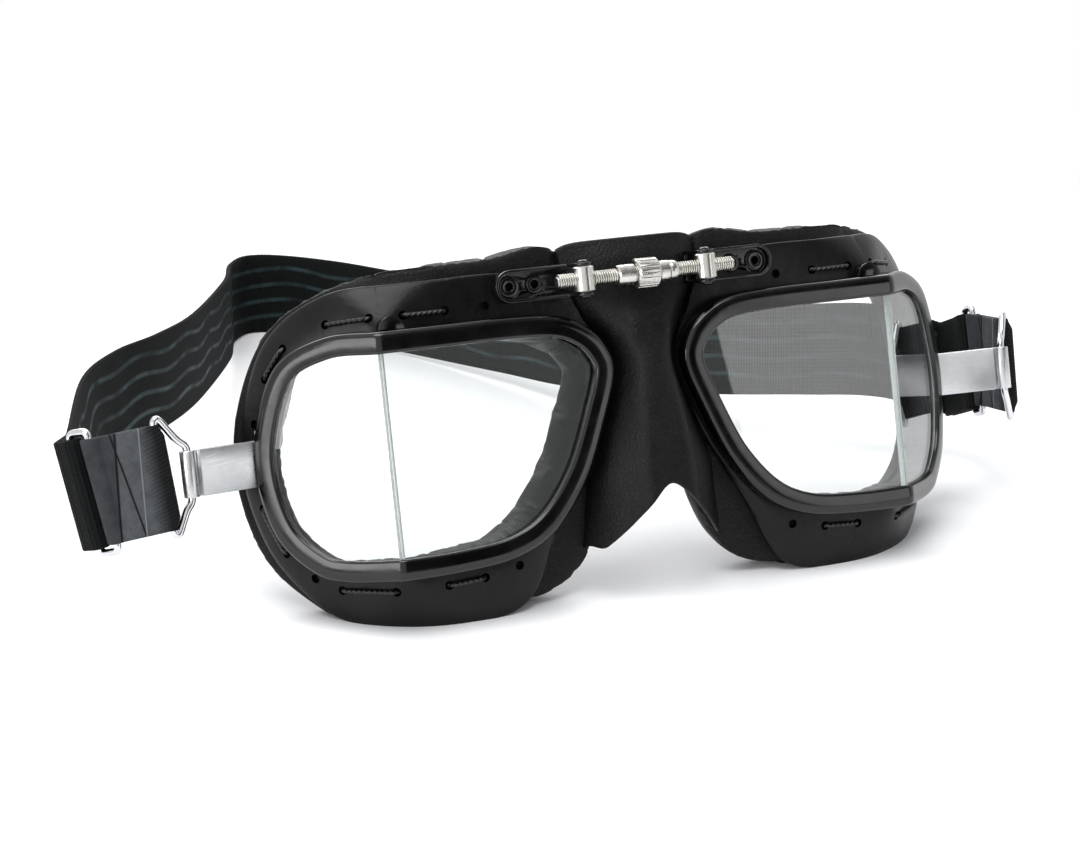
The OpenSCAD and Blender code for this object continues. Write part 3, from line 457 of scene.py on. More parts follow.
def metal_finish(name, light, dark, low, high, lines):
    """Metal whose roughness follows fine lines; lines says how many of them fall in a metre along x, y and z."""
    mat, tree, mm = new_finish(name)
    fine = add(tree, "Mapping", n0=add(tree, "TexCoord", "Object"), Scale=lines)
    brush = add(tree, "TexNoise", Vector=fine, Scale=1.0, Detail=4.0, Roughness=0.65)
    cloud = add(tree, "TexNoise", Vector=mm, Scale=0.15, Detail=4.0, Roughness=0.6)
    close_finish(tree, Base_Color=between(tree, cloud, 0.3, 0.7, linear(dark), linear(light)), Metallic=1.0,
                 Roughness=between(tree, brush, 0.3, 0.7, low, high),
                 Normal=add(tree, "Bump", Height=brush, Distance=0.00002, Strength=0.4))
    return mat


NICKEL = metal_finish("clouded_nickel_plate", "#d2d0cb", "#b4b2ac", 0.18, 0.32, (2500, 400, 400))
STEEL = metal_finish("satin_steel_strip", "#d3d4d6", "#bfc0c2", 0.25, 0.38, (150, 150, 3500))
CHROME = metal_finish("chromed_steel_wire", "#dcdde0", "#c9cacd", 0.06, 0.14, (500, 500, 500))

# %% [markdown]
# The strap is woven elastic. Rubber threads run along it every 1.1 mm and raise ribs, and the covering weft crosses
# them. Its inside carries four printed lines of grip rubber, which wander a little. The UV map tells the inside
# (the first 26 mm across) from the outside.
# %% Ribbed elastic
ELASTIC, tree, mm = new_finish("black_ribbed_elastic")
along, across = add(tree, "SeparateXYZ", None, Vector=add(tree, "TexCoord", "UV"))[:2]
weft = ripple(tree, along, 0.0008)
weave = add(tree, "Math", operation="MULTIPLY_ADD", n0=ripple(tree, across, 0.0011), n1=0.25, n2=weft)
fuzz = add(tree, "TexNoise", Vector=mm, Scale=2.5, Detail=3.0, Roughness=0.7)
cloth = between(tree, fuzz, 0.3, 0.7, linear("#070808"), linear("#131516"))
wander = add(tree, "Math", operation="MULTIPLY_ADD", n0=ripple(tree, along, 0.034), n1=0.0007, n2=across)
from_first = add(tree, "Math", operation="ADD", n0=wander, n1=-0.0028)
lane = add(tree, "Math", operation="PINGPONG", n0=from_first, n1=0.0026)
worn = add(tree, "TexNoise", Vector=mm, Scale=0.12, Detail=3.0)
line = add(tree, "Math", operation="MULTIPLY", n0=add(tree, "MapRange", n0=lane, n1=0.0017, n2=0.0023),
           n1=add(tree, "MapRange", n0=worn, n1=0.3, n2=0.6, n3=0.15, n4=1.0))
inside = add(tree, "Math", operation="COMPARE", n0=across, n1=0.013, n2=0.0095)
printed = add(tree, "Math", operation="MULTIPLY", n0=line, n1=inside)
close_finish(tree, Base_Color=between(tree, printed, 0, 1, cloth, linear("#2e3c3f")),
             Roughness=between(tree, printed, 0, 1, 0.85, 0.5), Specular_IOR_Level=0.14,
             Normal=add(tree, "Bump", Height=weave, Distance=0.00012, Strength=0.8))

# %% [markdown]
# The tabs between loop and slider are grey suede. Its nap is a fine noise and it hardly shines. Towards the loop bar
# its colour is painted dark, as the shade where the suede wraps round that bar. Two slanting seams and the worn fold
# are
# drawn over the front: a seam is a dark groove where the distance along, sheared by the height, has one value, and a
# sine along it makes the stitches.
# %% Grey suede
SUEDE, tree, mm = new_finish("grey_suede_leather")
nap = add(tree, "TexNoise", Vector=mm, Scale=4.0, Detail=4.0, Roughness=0.7)
worn = add(tree, "TexNoise", Vector=mm, Scale=0.3, Detail=5.0, Roughness=0.65)
half_worn = add(tree, "Math", operation="MULTIPLY", n0=worn, n1=0.5)
tone = add(tree, "Math", operation="MULTIPLY_ADD", n0=nap, n1=0.5, n2=half_worn)
reach, height = (add(tree, "Attribute", "Fac", attribute_name=label) for label in ("from_loop", "up_tab"))


def seam_line(start, slant, width):
    """The distance past the line reach = start + slant * height, and 1 on the line falling to 0 at its width."""
    at = add(tree, "Math", operation="MULTIPLY_ADD", n0=height, n1=-slant, n2=reach)
    past = add(tree, "Math", operation="SUBTRACT", n0=at, n1=start)
    near = add(tree, "Math", operation="ABSOLUTE", n0=past)
    return past, add(tree, "MapRange", n0=near, n1=width * 0.4, n2=width, n3=1.0, n4=0.0)


fold_line = seam_line(5.2, -0.11, 0.3)[1]
past_left, left_line = seam_line(11.0, -0.13, 0.35)
mid_line = seam_line(8.6, 0.16, 0.28)[1]
seams = add(tree, "Math", operation="MAXIMUM", n0=left_line, n1=mid_line)
# Painted shade: the colour runs dark towards the loop bar, where the suede wraps round it in shade.
ends = between(tree, reach, 0.6, 4.2, linear("#101112"), linear("#54575a"))
shades = between(tree, past_left, -0.1, 0.1, ends, linear("#3c3f42"))
suede = add(tree, "Mix", 2, data_type="RGBA", blend_type="MULTIPLY", n0=1.0, n6=shades,
            n7=between(tree, tone, 0.35, 0.65, linear("#b0b0b0"), linear("#ffffff")))
sewn = between(tree, seams, 0, 1, suede, linear("#0a0b0c"))
pale = between(tree, fold_line, 0, 1, sewn, linear("#6d7072"))
groove = add(tree, "Math", operation="SUBTRACT", n0=fold_line, n1=seams)
whip = ripple(tree, reach, 2 * np.pi / 2.2, add(tree, "Math", operation="MULTIPLY", n0=height, n1=7.0))
crease = add(tree, "Math", operation="MULTIPLY", n0=whip, n1=between(tree, reach, 1.2, 4.6, 0.5, 0.0))
relief = add(tree, "Math", operation="ADD", n0=groove, n1=crease)
close_finish(tree, Base_Color=pale, Roughness=0.85, Specular_IOR_Level=0.2,
             Normal=add(tree, "Bump", Height=nap, Distance=0.00012, Strength=0.6,
                        Normal=add(tree, "Bump", Height=relief, Distance=0.0003, Strength=0.8)))

# %% [markdown]
# The lacing is waxed black thread of two plies. A sine along the length, shifted by the angle round the thread, is
# a twist of 1.3 mm.
# %% Waxed thread
CORD, tree, mm = new_finish("black_waxed_thread")
length_way, round_way = add(tree, "SeparateXYZ", None, Vector=add(tree, "TexCoord", "UV"))[:2]
turns = add(tree, "Math", operation="MULTIPLY", n0=round_way, n1=2 * 2 / (LACE_D / 1000))
ply = ripple(tree, length_way, 0.0013, turns)
wax = add(tree, "TexNoise", Vector=mm, Scale=1.2, Detail=3.0)
close_finish(tree, Base_Color=between(tree, wax, 0.3, 0.7, linear("#070708"), linear("#171719")), Roughness=0.4,
             Normal=add(tree, "Bump", Height=ply, Distance=0.00012, Strength=0.8))

# %% [markdown]
# The exact solids that stay visible get these finishes too. Assigning to a slot leaves the mesh as it was packed.
# %% Finishes for the solids that stay
LOOKS = {"lens_frame": ENAMEL, "front_glass": GLASS, "side_glass": GLASS, "eyecup": FLANGE, "vent_hood": ENAMEL,
         "lacing": CORD, "face_cushion": LEATHER, "bracket": ENAMEL, "eyelets": ENAMEL, "trunnion": NICKEL,
         "strap_link": STEEL, "strap_loop": CHROME, "strap_tab": SUEDE, "slider": CHROME, "bridge_screw": NICKEL,
         "thumb_wheel": NICKEL, "lock_collar": NICKEL, "nose_bridge": LEATHER, "elastic_strap": ELASTIC}
for node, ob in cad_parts.items():
    look = LOOKS[node.split("_", 1)[1] if node.split("_")[0] in SIDES else node]
    ob.data.materials.clear()
    ob.data.materials.append(look)
print("solids given a finish:", len(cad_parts))

# %% [markdown]
# The camera stands where the photograph was taken from, left of the middle and above, with a long lens. It is placed
# by its own three axes, so that no helper has to guess an aim.
# %% Camera
camera = bpy.data.objects.new("camera", bpy.data.cameras.new("camera"))
bpy.context.scene.collection.objects.link(camera)
camera.data.sensor_width = 36.0
camera.data.lens = 2600.0 / 1080.0 * 36.0
back = Vector((-0.3697, -0.8751, 0.3123)).normalized()
right = Vector((-back.y, back.x, 0)).normalized()
turn = Matrix((right, back.cross(right), back)).transposed().to_4x4()
turn.translation = Vector((-0.2557, -0.5333, 0.1918 + REST_H / 1000))
camera.matrix_world = turn
scene = bpy.context.scene
scene.camera = camera
scene.view_settings.view_transform = "Standard"
print("camera at", [round(v, 3) for v in turn.translation])

# %% [markdown]
# The lens frame is a rolled band. Its section starts at the lip inside, runs over the flat face and the rounded
# shoulder, and down the outer wall. The section is the same all round, so it is carried round the outline as it is.
# A fan-shaped slot lets the steel link swing.
# %% Lens frames


def around(section):
    """Carries a section of (outward, depth) points round the outline: centre + outward direction times offset."""
    sec = np.broadcast_to(section, (len(T), *np.shape(section)[-2:]))
    s = RIM[:, None, 0] + OUT[:, None, 0] * sec[..., 0]
    h = RIM[:, None, 1] + OUT[:, None, 1] * sec[..., 0]
    return s, h, sec[..., 1], np.broadcast_to(RIM[:, None, 0], s.shape)


def quarter(steps=7):
    return np.radians(np.linspace(0, 90, steps))


lip = np.column_stack([-BAND_W + 0.75 - 0.75 * np.cos(quarter()), 0.8 - 0.7 * np.sin(quarter())])
face = np.array([[-3.6, 0.03], [-2.6, 0.0], [-1.9, 0.04]])
shoulder = np.column_stack([-1.5 + 1.5 * np.sin(quarter(9)), 1.62 - 1.5 * np.cos(quarter(9))])
wall = np.array([[0, 3.0], [0, FRAME_D - 0.3], [-0.15, FRAME_D - 0.08], [-0.45, FRAME_D], [-SHEET_T, FRAME_D - 0.15],
                 [-SHEET_T, 3.0], [-SHEET_T, GLASS_E - SEAT], [-BAND_W, GLASS_E - SEAT]])
band = place(*around(np.vstack([lip, face, shoulder, wall])), radius=0.7)


def turned(angle, x, y, z=0.0):
    """A vector turned about the upright axis: x cos a - y sin a, x sin a + y cos a."""
    return np.array([x * np.cos(angle) - y * np.sin(angle), x * np.sin(angle) + y * np.cos(angle), z])


POST = np.array([BEND_X, 0, LINK_H]) + turned(WRAP, SIDE_LEN - SHEET_T / 2, SEAT_E + 0.2)
SLOT_H = LINK_W + 0.6
low_side, high_side = -LINK_REST - np.radians(3), -LINK_REST + np.radians(45)


def link_slot(reach):
    """The fan that the link sweeps about its post, as a closed prism of six corners."""
    fan = [turned(high_side, -reach, 0), turned(low_side, 0, -reach), turned(low_side, 16, -reach),
           turned(high_side, 16, reach), turned(high_side, 0, reach), turned(low_side, -reach, 0)]
    return np.array([POST + f + [0, 0, z] for z in (-SLOT_H / 2, SLOT_H / 2) for f in fan]), prism_faces(6)


def facing_out(faces, side):
    """A mirrored shape has its faces turned, so that they still point outwards."""
    return faces if side > 0 else [f[::-1] for f in faces]


for name, side in SIDES.items():
    ob = grid_piece(f"{name}_frame_band", on_table(band, side), ENAMEL, wrap_i=True, sharp=38)
    slot_points, slot_faces = link_slot(1.47)
    carve(ob, on_table(slot_points, side), facing_out(slot_faces, side))
    dress(ob, f"{name}_eyepiece", "black_enamel", f"{name}_lens_frame")
    post = on_table(POST + np.linspace(-1, 1, 9)[:, None] * [0, 0, SLOT_H / 2 + 2], side)
    dress(tube(f"{name}_hinge_post", post, POST_D / 2000, NICKEL, sides=24), f"{name}_eyepiece", "nickel_plate")

# %% [markdown]
# Each eyepiece has two flat panes that meet in the bend. Their cut edges are ground, with a small bevel towards each
# face, and show as a pale line. A pane is a stack of four outlines. Points past the bend slide back onto it, where
# they are spread evenly.
# %% Split lenses
GROUND, tree, mm = new_finish("ground_glass_edge")
frost = add(tree, "TexNoise", Vector=mm, Scale=3.0, Detail=3.0)
close_finish(tree, Base_Color=between(tree, frost, 0.3, 0.7, linear("#8d9493"), linear("#c2c8c7")),
             Roughness=0.55, IOR=1.5)
BEVEL, GAP = 0.38, 0.08


def pane(past_bend):
    """Four closed outlines through the glass: bevelled front, two full ones and bevelled back."""
    stack = []
    for inset, e in ((BEVEL, GLASS_E), (0, GLASS_E + 0.3), (0, GLASS_E + GLASS_T - 0.3), (BEVEL, GLASS_E + GLASS_T)):
        edge = RIM - OUT * (BAND_W - GLASS_BITE + inset)
        limit = e * np.tan(WRAP / 2) + GAP + inset
        if past_bend:
            run = np.maximum(edge[:, 0] - BEND_X, limit)
            x, y = BEND_X + run * np.cos(WRAP) - e * np.sin(WRAP), run * np.sin(WRAP) + e * np.cos(WRAP)
        else:
            x = BEND_X + np.minimum(edge[:, 0] - BEND_X, -limit)
            y = e + 0 * x
        moved = (edge[:, 0] - BEND_X < limit) if past_bend else (edge[:, 0] - BEND_X > -limit)
        row = (np.flatnonzero(moved & ~np.roll(moved, 1))[0] + np.arange(moved.sum())) % len(T)
        edge[row, 1] = np.linspace(edge[row[0], 1], edge[row[-1], 1], len(row))
        stack.append(np.column_stack([x, y, edge[:, 1]]))
    return np.array(stack)


for name, side in SIDES.items():
    for piece, past_bend in (("front", False), ("side", True)):
        ob = grid_piece(f"{name}_{piece}_pane", on_table(pane(past_bend), side), GLASS, sharp=8)
        ob.data.materials.append(GROUND)
        on_edge = np.arange(len(ob.data.polygons)) < 3 * len(T)
        ob.data.polygons.foreach_set("material_index", on_edge.astype(np.int32))
        ob.data.polygons.foreach_set("use_smooth", np.full(len(on_edge), False))
        dress(ob, f"{name}_eyepiece", "clear_glass", f"{name}_{piece}_glass")

# %% [markdown]
# Behind the glass sits the eyecup, whose flange sweeps back and outwards. It is punched for the lacing and for the
# two eyelets of the bracket. The holes are drilled with a boolean, because a hole punched in real geometry shows its
# edge from every side. Where the flange stands on the table it has worn flat.
# %% Eyecups with laced flanges


def flange_depth(share):
    return FLANGE_E + FLANGE_DIP * dip * np.maximum(share, 0) ** 1.6


w = np.maximum(flange_w, 0.5)
foot, inner = -(BAND_W - GLASS_BITE) - 0.6, -SHEET_T - SEAT
rows = [[foot + 0 * w, SEAT_E + 0 * w], [inner + 0 * w, SEAT_E + 0 * w], [inner + 0 * w, FLANGE_E + 0 * w]]
for share in np.linspace(0.1, 0.92, 9):
    rows.append([w * share, flange_depth(share)])
for a in np.radians(np.linspace(-75, 75, 7)):
    rows.append([w - 0.4 + 0.4 * np.cos(a), flange_depth(1) + FLANGE_T / 2 * (1 + np.sin(a))])
for share in (0.92, 0.75, 0.6, 0.4, 0.2):
    rows.append([w * share, flange_depth(share) + FLANGE_T])
rows += [[inner - 1 + 0 * w, FLANGE_E + FLANGE_T + 0 * w], [inner - FLANGE_T + 0 * w, SEAT_E + FLANGE_T + 0 * w],
         [foot + 0 * w, SEAT_E + FLANGE_T + 0 * w]]
rows = np.array(rows).transpose(2, 0, 1)
cup = place(*around(rows), radius=fold_radius(rows[..., 0]))

LACE_AT = np.array([16.7, 19.2, 21.8, 25.2, 28.2, 31.4, 33.4, 36, 41.6, 44.8, 47.6, 50.6, 54.8, 59.3, 61.8, 64.4]) / 4
STITCHED = [1, 3, 5, 8, 11, 13]
lace_rim, lace_out = rim(LACE_AT), outward(LACE_AT)
lace_s, lace_h = (lace_rim + lace_out * LACE_OUT).T
lace_share = LACE_OUT / closed_curve(FLANGE_PATH, LACE_AT)
lace_e = FLANGE_E + FLANGE_DIP * closed_curve(DIP_PATH, LACE_AT) * lace_share ** 1.6
LACE = place(lace_s, lace_h, lace_e, lace_rim[:, 0], fold_radius(LACE_OUT))
past = lace_rim[:, 0] > BEND_X
LACE_AXIS = np.stack([np.where(past, -np.sin(WRAP), 0), np.where(past, np.cos(WRAP), 1), 0 * lace_s], -1)
drill_points, drill_faces = prisms(LACE, LACE_AXIS, LACE_HOLE / 2, 2, 3)
eye_points, eye_faces = prisms([[TRUNNION_X + x, FLANGE_E, SCREW_H] for x in (EYELET_1, EYELET_1 + EYELET_2)],
                               [[0, 1, 0]] * 2, EYELET_R + RUN_GAP, 3, 6, 40)
cut_points, cut_faces = drill_points, list(drill_faces)
for more_points, more_faces in ((eye_points, eye_faces), link_slot(1.65)):
    cut_faces += [[q + len(cut_points) for q in f] for f in more_faces]
    cut_points = np.concatenate([cut_points, more_points])
for name, side in SIDES.items():
    flat = on_table(cup, side)
    flat[..., 2] = np.maximum(flat[..., 2], 0)
    ob = grid_piece(f"{name}_cup_flange", flat, FLANGE, wrap_i=True, sharp=40)
    carve(ob, on_table(cut_points, side), facing_out(cut_faces, side))
    dress(ob, f"{name}_eyepiece", "black_flange", f"{name}_eyecup")

# %% [markdown]
# Each stitch of the lacing comes up through one hole, lies over the flange and dives into the next. Six of them show
# on each eyepiece. They are joined into one piece, as one thread.
# %% Lacing


def join(obs, name):
    """Joins pieces into the first one's mesh, with its name."""
    first = obs[0]
    with bpy.context.temp_override(active_object=first, object=first, selected_objects=obs,
                                   selected_editable_objects=obs):
        bpy.ops.object.join()
    first.name = first.data.name = name
    return first


for name, side in SIDES.items():
    parts = []
    for k in STITCHED:
        a, b, up = LACE[k], LACE[k + 1], -(LACE_AXIS[k] + LACE_AXIS[k + 1]) / 2
        lie = LACE_D / 2 + 0.1
        run = unit(b - a)
        keys = [a - up * 2.0 - run * 0.2, a - up * 0.6 + run * 0.05, a + up * lie * 0.8 + run * 0.9,
                (a * 0.6 + b * 0.4) + up * (lie + 0.25), (a * 0.3 + b * 0.7) + up * (lie + 0.15),
                b + up * lie * 0.8 - run * 0.9, b - up * 0.6 - run * 0.05, b - up * 2.0 + run * 0.2]
        parts.append(tube(f"{name}_stitch_{k}", on_table(curve_through(keys, 7), side), LACE_D / 2000, CORD, sides=12))
    dress(join(parts, f"{name}_lacing_thread"), f"{name}_eyepiece", "black_cord", f"{name}_lacing")

# %% [markdown]
# Behind the flange lies the face cushion, a ring of padding in thin leather. Its roll stands proud of the flange
# along the top, and its crest meets the face. The section changes from place to place round the ring.
# %% Face cushions


ROUND = np.arange(0, 12, 0.25)


def cushion_rows(slack):
    """Twelve places of the section, drawn in by slack, then a smooth closed curve through them at each station."""
    w, c, one = np.maximum(flange_w, 0.4), crown_w, np.ones_like(flange_w)
    f0 = FLANGE_E + FLANGE_T + SEAT
    f1 = flange_depth(1) + FLANGE_T + 0.3
    keys = [[-BAND_W + 0.4 + retreat * 0.55, f0 * one], [-1.6 * one, f0 * one],
            [np.minimum(w * 0.5, c - 1.4), np.maximum(f0 + 0.7, flange_depth(0.5) + FLANGE_T + 0.3)],
            [np.minimum(w - 0.8, c - 0.8), f1 + 0.3], [c - 0.7, f1 + 0.9], [c, f1 + 2.4], [c - 1.1, (f1 + crest_e) / 2],
            [c - 3.4, crest_e - 2.6], [c * 0.45 - 2.6, crest_e], [-BAND_W + 0.6 + retreat * 0.7, crest_e - 0.8],
            [-BAND_W - 1.6 + retreat, crest_e - 3.2], [-BAND_W - 0.9 + retreat, (f0 + crest_e) / 2]]
    keys = np.array(keys).transpose(2, 0, 1)
    middle = keys.mean(1, keepdims=True)
    keys = middle + (keys - middle) * (1 - slack)
    return closed_curve(keys.transpose(1, 0, 2), ROUND).transpose(1, 0, 2)


def room_for_leather(s, h, e):
    """Behind the nose leather the cushion's front keeps back, so that the leather lies between flange and cushion."""
    room = smooth_step((SEAM_X + 1.6 - s) / 1.2) * smooth_step((h - 17.6) / 1.6)
    return s, h, np.maximum(e, e + (10.9 - e) * room)


def puffed(rest, grid, pressure, cap):
    """The grid as a cloth skin that air blows up from inside, without gravity. It is worked out at ten times its
    size, because cloth is tuned for things the size of clothes. No point ends further than cap from the grid."""
    ob = grid_piece("skin", grid * 10, LEATHER, wrap_i=True)
    sewn = ob.vertex_groups.new(name="sewn")
    sewn.add([int(i) for i in np.flatnonzero(rest.ravel())], 1.0, "REPLACE")
    mod = ob.modifiers.new("padding", "CLOTH")
    cloth = mod.settings
    cloth.quality, cloth.mass, cloth.vertex_group_mass = 6, 0.15, "sewn"
    cloth.tension_stiffness = cloth.compression_stiffness = 12
    cloth.shear_stiffness, cloth.bending_stiffness = 4, 0.1
    cloth.use_pressure, cloth.uniform_pressure_force, cloth.shrink_min = True, pressure, -0.04
    cloth.effector_weights.gravity = 0
    for f in range(1, 21):
        bpy.context.scene.frame_set(f)
    got = np.empty(len(ob.data.vertices) * 3)
    ob.evaluated_get(bpy.context.evaluated_depsgraph_get()).data.vertices.foreach_get("co", got)
    bpy.context.scene.frame_set(1)
    bpy.data.objects.remove(ob)
    move = got.reshape(grid.shape) / 10 - grid
    far = np.linalg.norm(move, axis=-1, keepdims=True)
    print(f"the skin moved by up to {far.max() * 1000:.2f} mm, on average {far.mean() * 1000:.2f} mm")
    return grid + move * np.minimum(1, cap / np.maximum(far, 1e-9))


section = cushion_rows(0.05)
s, h, e, base = around(section)
cushion = on_table(place_soft(*room_for_leather(s, h, e), base, section[..., 0]), 1)
seam = (ROUND < 4.3) | (np.abs(ROUND - 9) < 0.2)
cushion = puffed(np.broadcast_to(seam, cushion.shape[:2]), cushion, 4.0, 0.0016)
cushion[..., 2] = np.maximum(cushion[..., 2], 0)
for name, side in SIDES.items():
    ob = grid_piece(f"{name}_leather_cushion", cushion * [side, 1, 1], LEATHER, wrap_i=True)
    dress(ob, f"{name}_eyepiece", "black_leather", f"{name}_face_cushion")

# %% [markdown]
# The nose piece is a saddle of leather between the eyepieces. Two soft ridges run down it. It is a grid over height
# and breadth: its half width and its depth at the middle and at the sides are smoothed tables of height. It is made
# in two halves that meet in the middle.
# %% Nose leather
HALF_WIDTH = [[-31, 18.5], [-22, 17.2], [-11, 16], [3, 11], [13.5, 7.8], [17, 8], [20, 9.2], [27, 13.6], [33, 17],
              [45, SEAM_X]]
MID_DEPTH = [[-31, -5.2], [-14, -5], [0, -4.4], [15, -3], [25, -0.4], [31, 2], [36, 3.3], [40, 4], [45, 6.4]]
SIDE_DEPTH = [[-31, 10.4], [-11, 6.7], [20, 6.7], [27, 8.6], [45, 9.4]]


def smooth_table(table, h):
    """Straight lines between the table's rows, averaged over 5 mm of height so that no kink is left."""
    xs, ys = np.array(table, float).T
    offsets = np.linspace(-2.5, 2.5, 11)
    weights = np.cos(offsets / 5 * np.pi) ** 2
    return sum(wt * np.interp(h + o, xs, ys) for o, wt in zip(offsets, weights)) / weights.sum()


def nose_leaf(u, v, off):
    """u across from -1 to 1 and v from the top edge down; off moves the face along its depth."""
    low = -ARCH_DROP - 18 * (np.sqrt(u * u + 0.03) - 0.173) / 0.842 + 4 * smooth_step((np.abs(u) - 0.8) / 0.2)
    high = LEATHER_TOP - 1.3 * np.abs(u) ** 9
    h = high + (low - high) * v
    x = np.abs(u) * smooth_table(HALF_WIDTH, h)
    ridge = np.where(h < 27, np.clip((27 - h) / 5, 0, 1) * 1.3 * np.exp(-((x - 5.5) / 2.4) ** 2), 0)
    mid = smooth_table(MID_DEPTH, h)
    depth = mid + (smooth_table(SIDE_DEPTH, h) - mid) * np.abs(u) ** 2.4 - ridge * (1 - np.abs(u))
    return np.stack([np.sign(u) * x, depth + off, h], -1)


def nose_half(side):
    """Front face, rounded lower edge, back face and rounded top edge as one closed section at each place across."""
    u, v, half = np.linspace(0, 1, 41), np.linspace(0, 1, 110), LEATHER_T / 2
    arc = np.radians(np.linspace(-60, 60, 5))
    bead = half * np.stack([0 * arc, np.sin(arc), -0.6 * np.cos(arc)], -1)
    uu, vv = np.meshgrid(u, v, indexing="ij")
    low, high = nose_leaf(u, 1 + 0 * u, 0)[:, None] + bead, nose_leaf(u, 0 * u, 0)[:, None] - bead
    return on_table(np.concatenate([nose_leaf(uu, vv, -half), low, nose_leaf(uu, vv[:, ::-1], half), high], 1), side)


for name, side in SIDES.items():
    ob = grid_piece(f"{name}_nose_leather", nose_half(side), LEATHER, sharp=70)
    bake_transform(ob)
    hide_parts("nose_bridge")
    print(f"{ob.name}: {len(ob.data.polygons)} faces, from the bridge to its nut")

# %% [markdown]
# The adjuster is a screw with a right-hand thread on one end and a left-hand one on the other, so that turning it
# draws both eyepieces together. A real thread is a helix: the radius is a function of the angle and of the distance
# along, with a flat crest and root and sloping flanks.
# %% Screw


def thread_radius(x, th):
    """Root radius plus a clipped triangle wave of (x / pitch -+ angle / one turn)."""
    hand = np.where(x < 0, 1, -1)
    phase = (x / THREAD_PITCH + hand * th / (2 * np.pi)) % 1
    tooth = np.clip(1.75 - np.abs(phase - 0.5) * 4.2, 0, 1)
    end = np.clip((SCREW_LEN / 2 - np.abs(x)) / 0.5, 0, 1)
    return (THREAD_D / 2 - THREAD_DEPTH * (1 - tooth)) * (0.72 + 0.28 * end)


def about_screw(x, r):
    """Points round the screw's axis, x along it and r from it."""
    return on_table(np.stack([x + 0 * th, r * np.sin(th) - SCREW_FORE, r * np.cos(th) + SCREW_H], -1), 1)


THREAD_DEPTH = 0.5
th = np.arange(40) * 2 * np.pi / 40
threads = []
for name, a, b in (("left", -SCREW_LEN / 2, -BARREL_LEFT + 0.2), ("right", BARREL_RIGHT - 0.2, SCREW_LEN / 2)):
    x = np.linspace(a, b, int((b - a) / THREAD_PITCH * 10))[:, None]
    threads.append(grid_piece(f"{name}_thread", about_screw(x, thread_radius(x, th)), NICKEL))
profile = [[-BARREL_LEFT, 1.5], [-BARREL_LEFT, 2.15], [-BARREL_LEFT + 0.3, 2.45], [-3.4, 2.45], [-3.2, 2.3], [3.2, 2.3],
           [3.4, 2.45], [BARREL_RIGHT - 0.3, 2.45], [BARREL_RIGHT, 2.15], [BARREL_RIGHT, 1.5]]
x, r = np.array(profile).T[..., None]
threads.append(grid_piece("barrel", about_screw(x, r), NICKEL, sharp=30))
dress(join(threads, "adjuster_screw"), "adjuster", "nickel_plate", "bridge_screw")

# %% [markdown]
# The trunnion nuts are turned pieces too, upright ones. Each has a black pin through it, riveted over the ears of the
# bracket. The pressed, folded and knurled pieces keep the exact solid's shape; a copy of it gets small round edges,
# because an edge without any catches no light.
# %% Trunnions and rounded edges
TRUNNION_D, TRUNNION_H, PIVOT_D, BRACKET_T = 5.2, 6.0, 1.6, 0.8


def turned_upright(name, profile, side, material):
    """A profile of (height, radius) turned about the trunnion's own axis."""
    z, r = np.array(profile).T[..., None]
    grid = np.stack([TRUNNION_X + r * np.cos(th), r * np.sin(th) - SCREW_FORE, SCREW_H + z + 0 * th], -1)
    return grid_piece(name, on_table(grid, side), material, sharp=35)


def round_edges(node, body, slot, width):
    """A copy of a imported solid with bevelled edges. Its doubled points are welded first."""
    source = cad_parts[node]
    ob = bpy.data.objects.new(f"{node}_rounded", source.data.copy())
    ob.matrix_world = source.matrix_world.copy()
    scene.collection.objects.link(ob)
    ob.modifiers.new("weld", "WELD").merge_threshold = 0.000002
    mod = ob.modifiers.new("edges", "BEVEL")
    mod.width, mod.segments, mod.limit_method, mod.angle_limit = width, 2, "ANGLE", np.radians(38)
    mod.harden_normals = True
    ob.data.polygons.foreach_set("use_smooth", np.full(len(ob.data.polygons), True))
    return dress(ob, body, slot, node)


half_h, r = TRUNNION_H / 2, TRUNNION_D / 2
pin_top = half_h + SEAT + BRACKET_T
nut = [[-half_h, 1.0], [-half_h, r - 0.3], [0.25 - half_h, r], [half_h - 0.25, r], [half_h, r - 0.3], [half_h, 1.0]]
pin = np.array([[half_h - 0.1, PIVOT_D / 2], [pin_top + 0.04, PIVOT_D / 2], [pin_top + 0.05, 1.3],
                [pin_top + 0.35, 1.22], [pin_top + 0.6, 0.9], [pin_top + 0.66, 0.4]])
for name, side in SIDES.items():
    ob = turned_upright(f"{name}_trunnion_nut", nut, side, NICKEL)
    dress(ob, f"{name}_nut", "nickel_plate", f"{name}_trunnion")
    pins = [turned_upright(f"{name}_pin", pin * [end, 1], side, ENAMEL) for end in (-1, 1)]
    dress(join(pins, f"{name}_riveted_pin"), f"{name}_nut", "bracket_black")
    for piece, body, slot, width in (("bracket", "eyepiece", "bracket_black", 0.00014),
                                     ("eyelets", "eyepiece", "bracket_black", 0.00012),
                                     ("vent_hood", "eyepiece", "black_enamel", 0.0002),
                                     ("strap_link", "link", "satin_steel", 0.0001)):
        round_edges(f"{name}_{piece}", f"{name}_{body}", slot, width)
for node in ("thumb_wheel", "lock_collar"):
    round_edges(node, "adjuster", "nickel_plate", 0.00014)

# %% [markdown]
# Strap hardware is wire. A path through the corners, each one rounded, is followed by a round section. The places
# come from the chain of joints: link, loop, tab and slider, each turned on the one before it.
# %% Chain of link, loop, tab and slider


def rot_y(a):
    return np.array([[np.cos(a), 0, np.sin(a)], [0, 1, 0], [-np.sin(a), 0, np.cos(a)]])


def rot_z(degrees):
    a = np.radians(degrees)
    return np.array([[np.cos(a), -np.sin(a), 0], [np.sin(a), np.cos(a), 0], [0, 0, 1]])


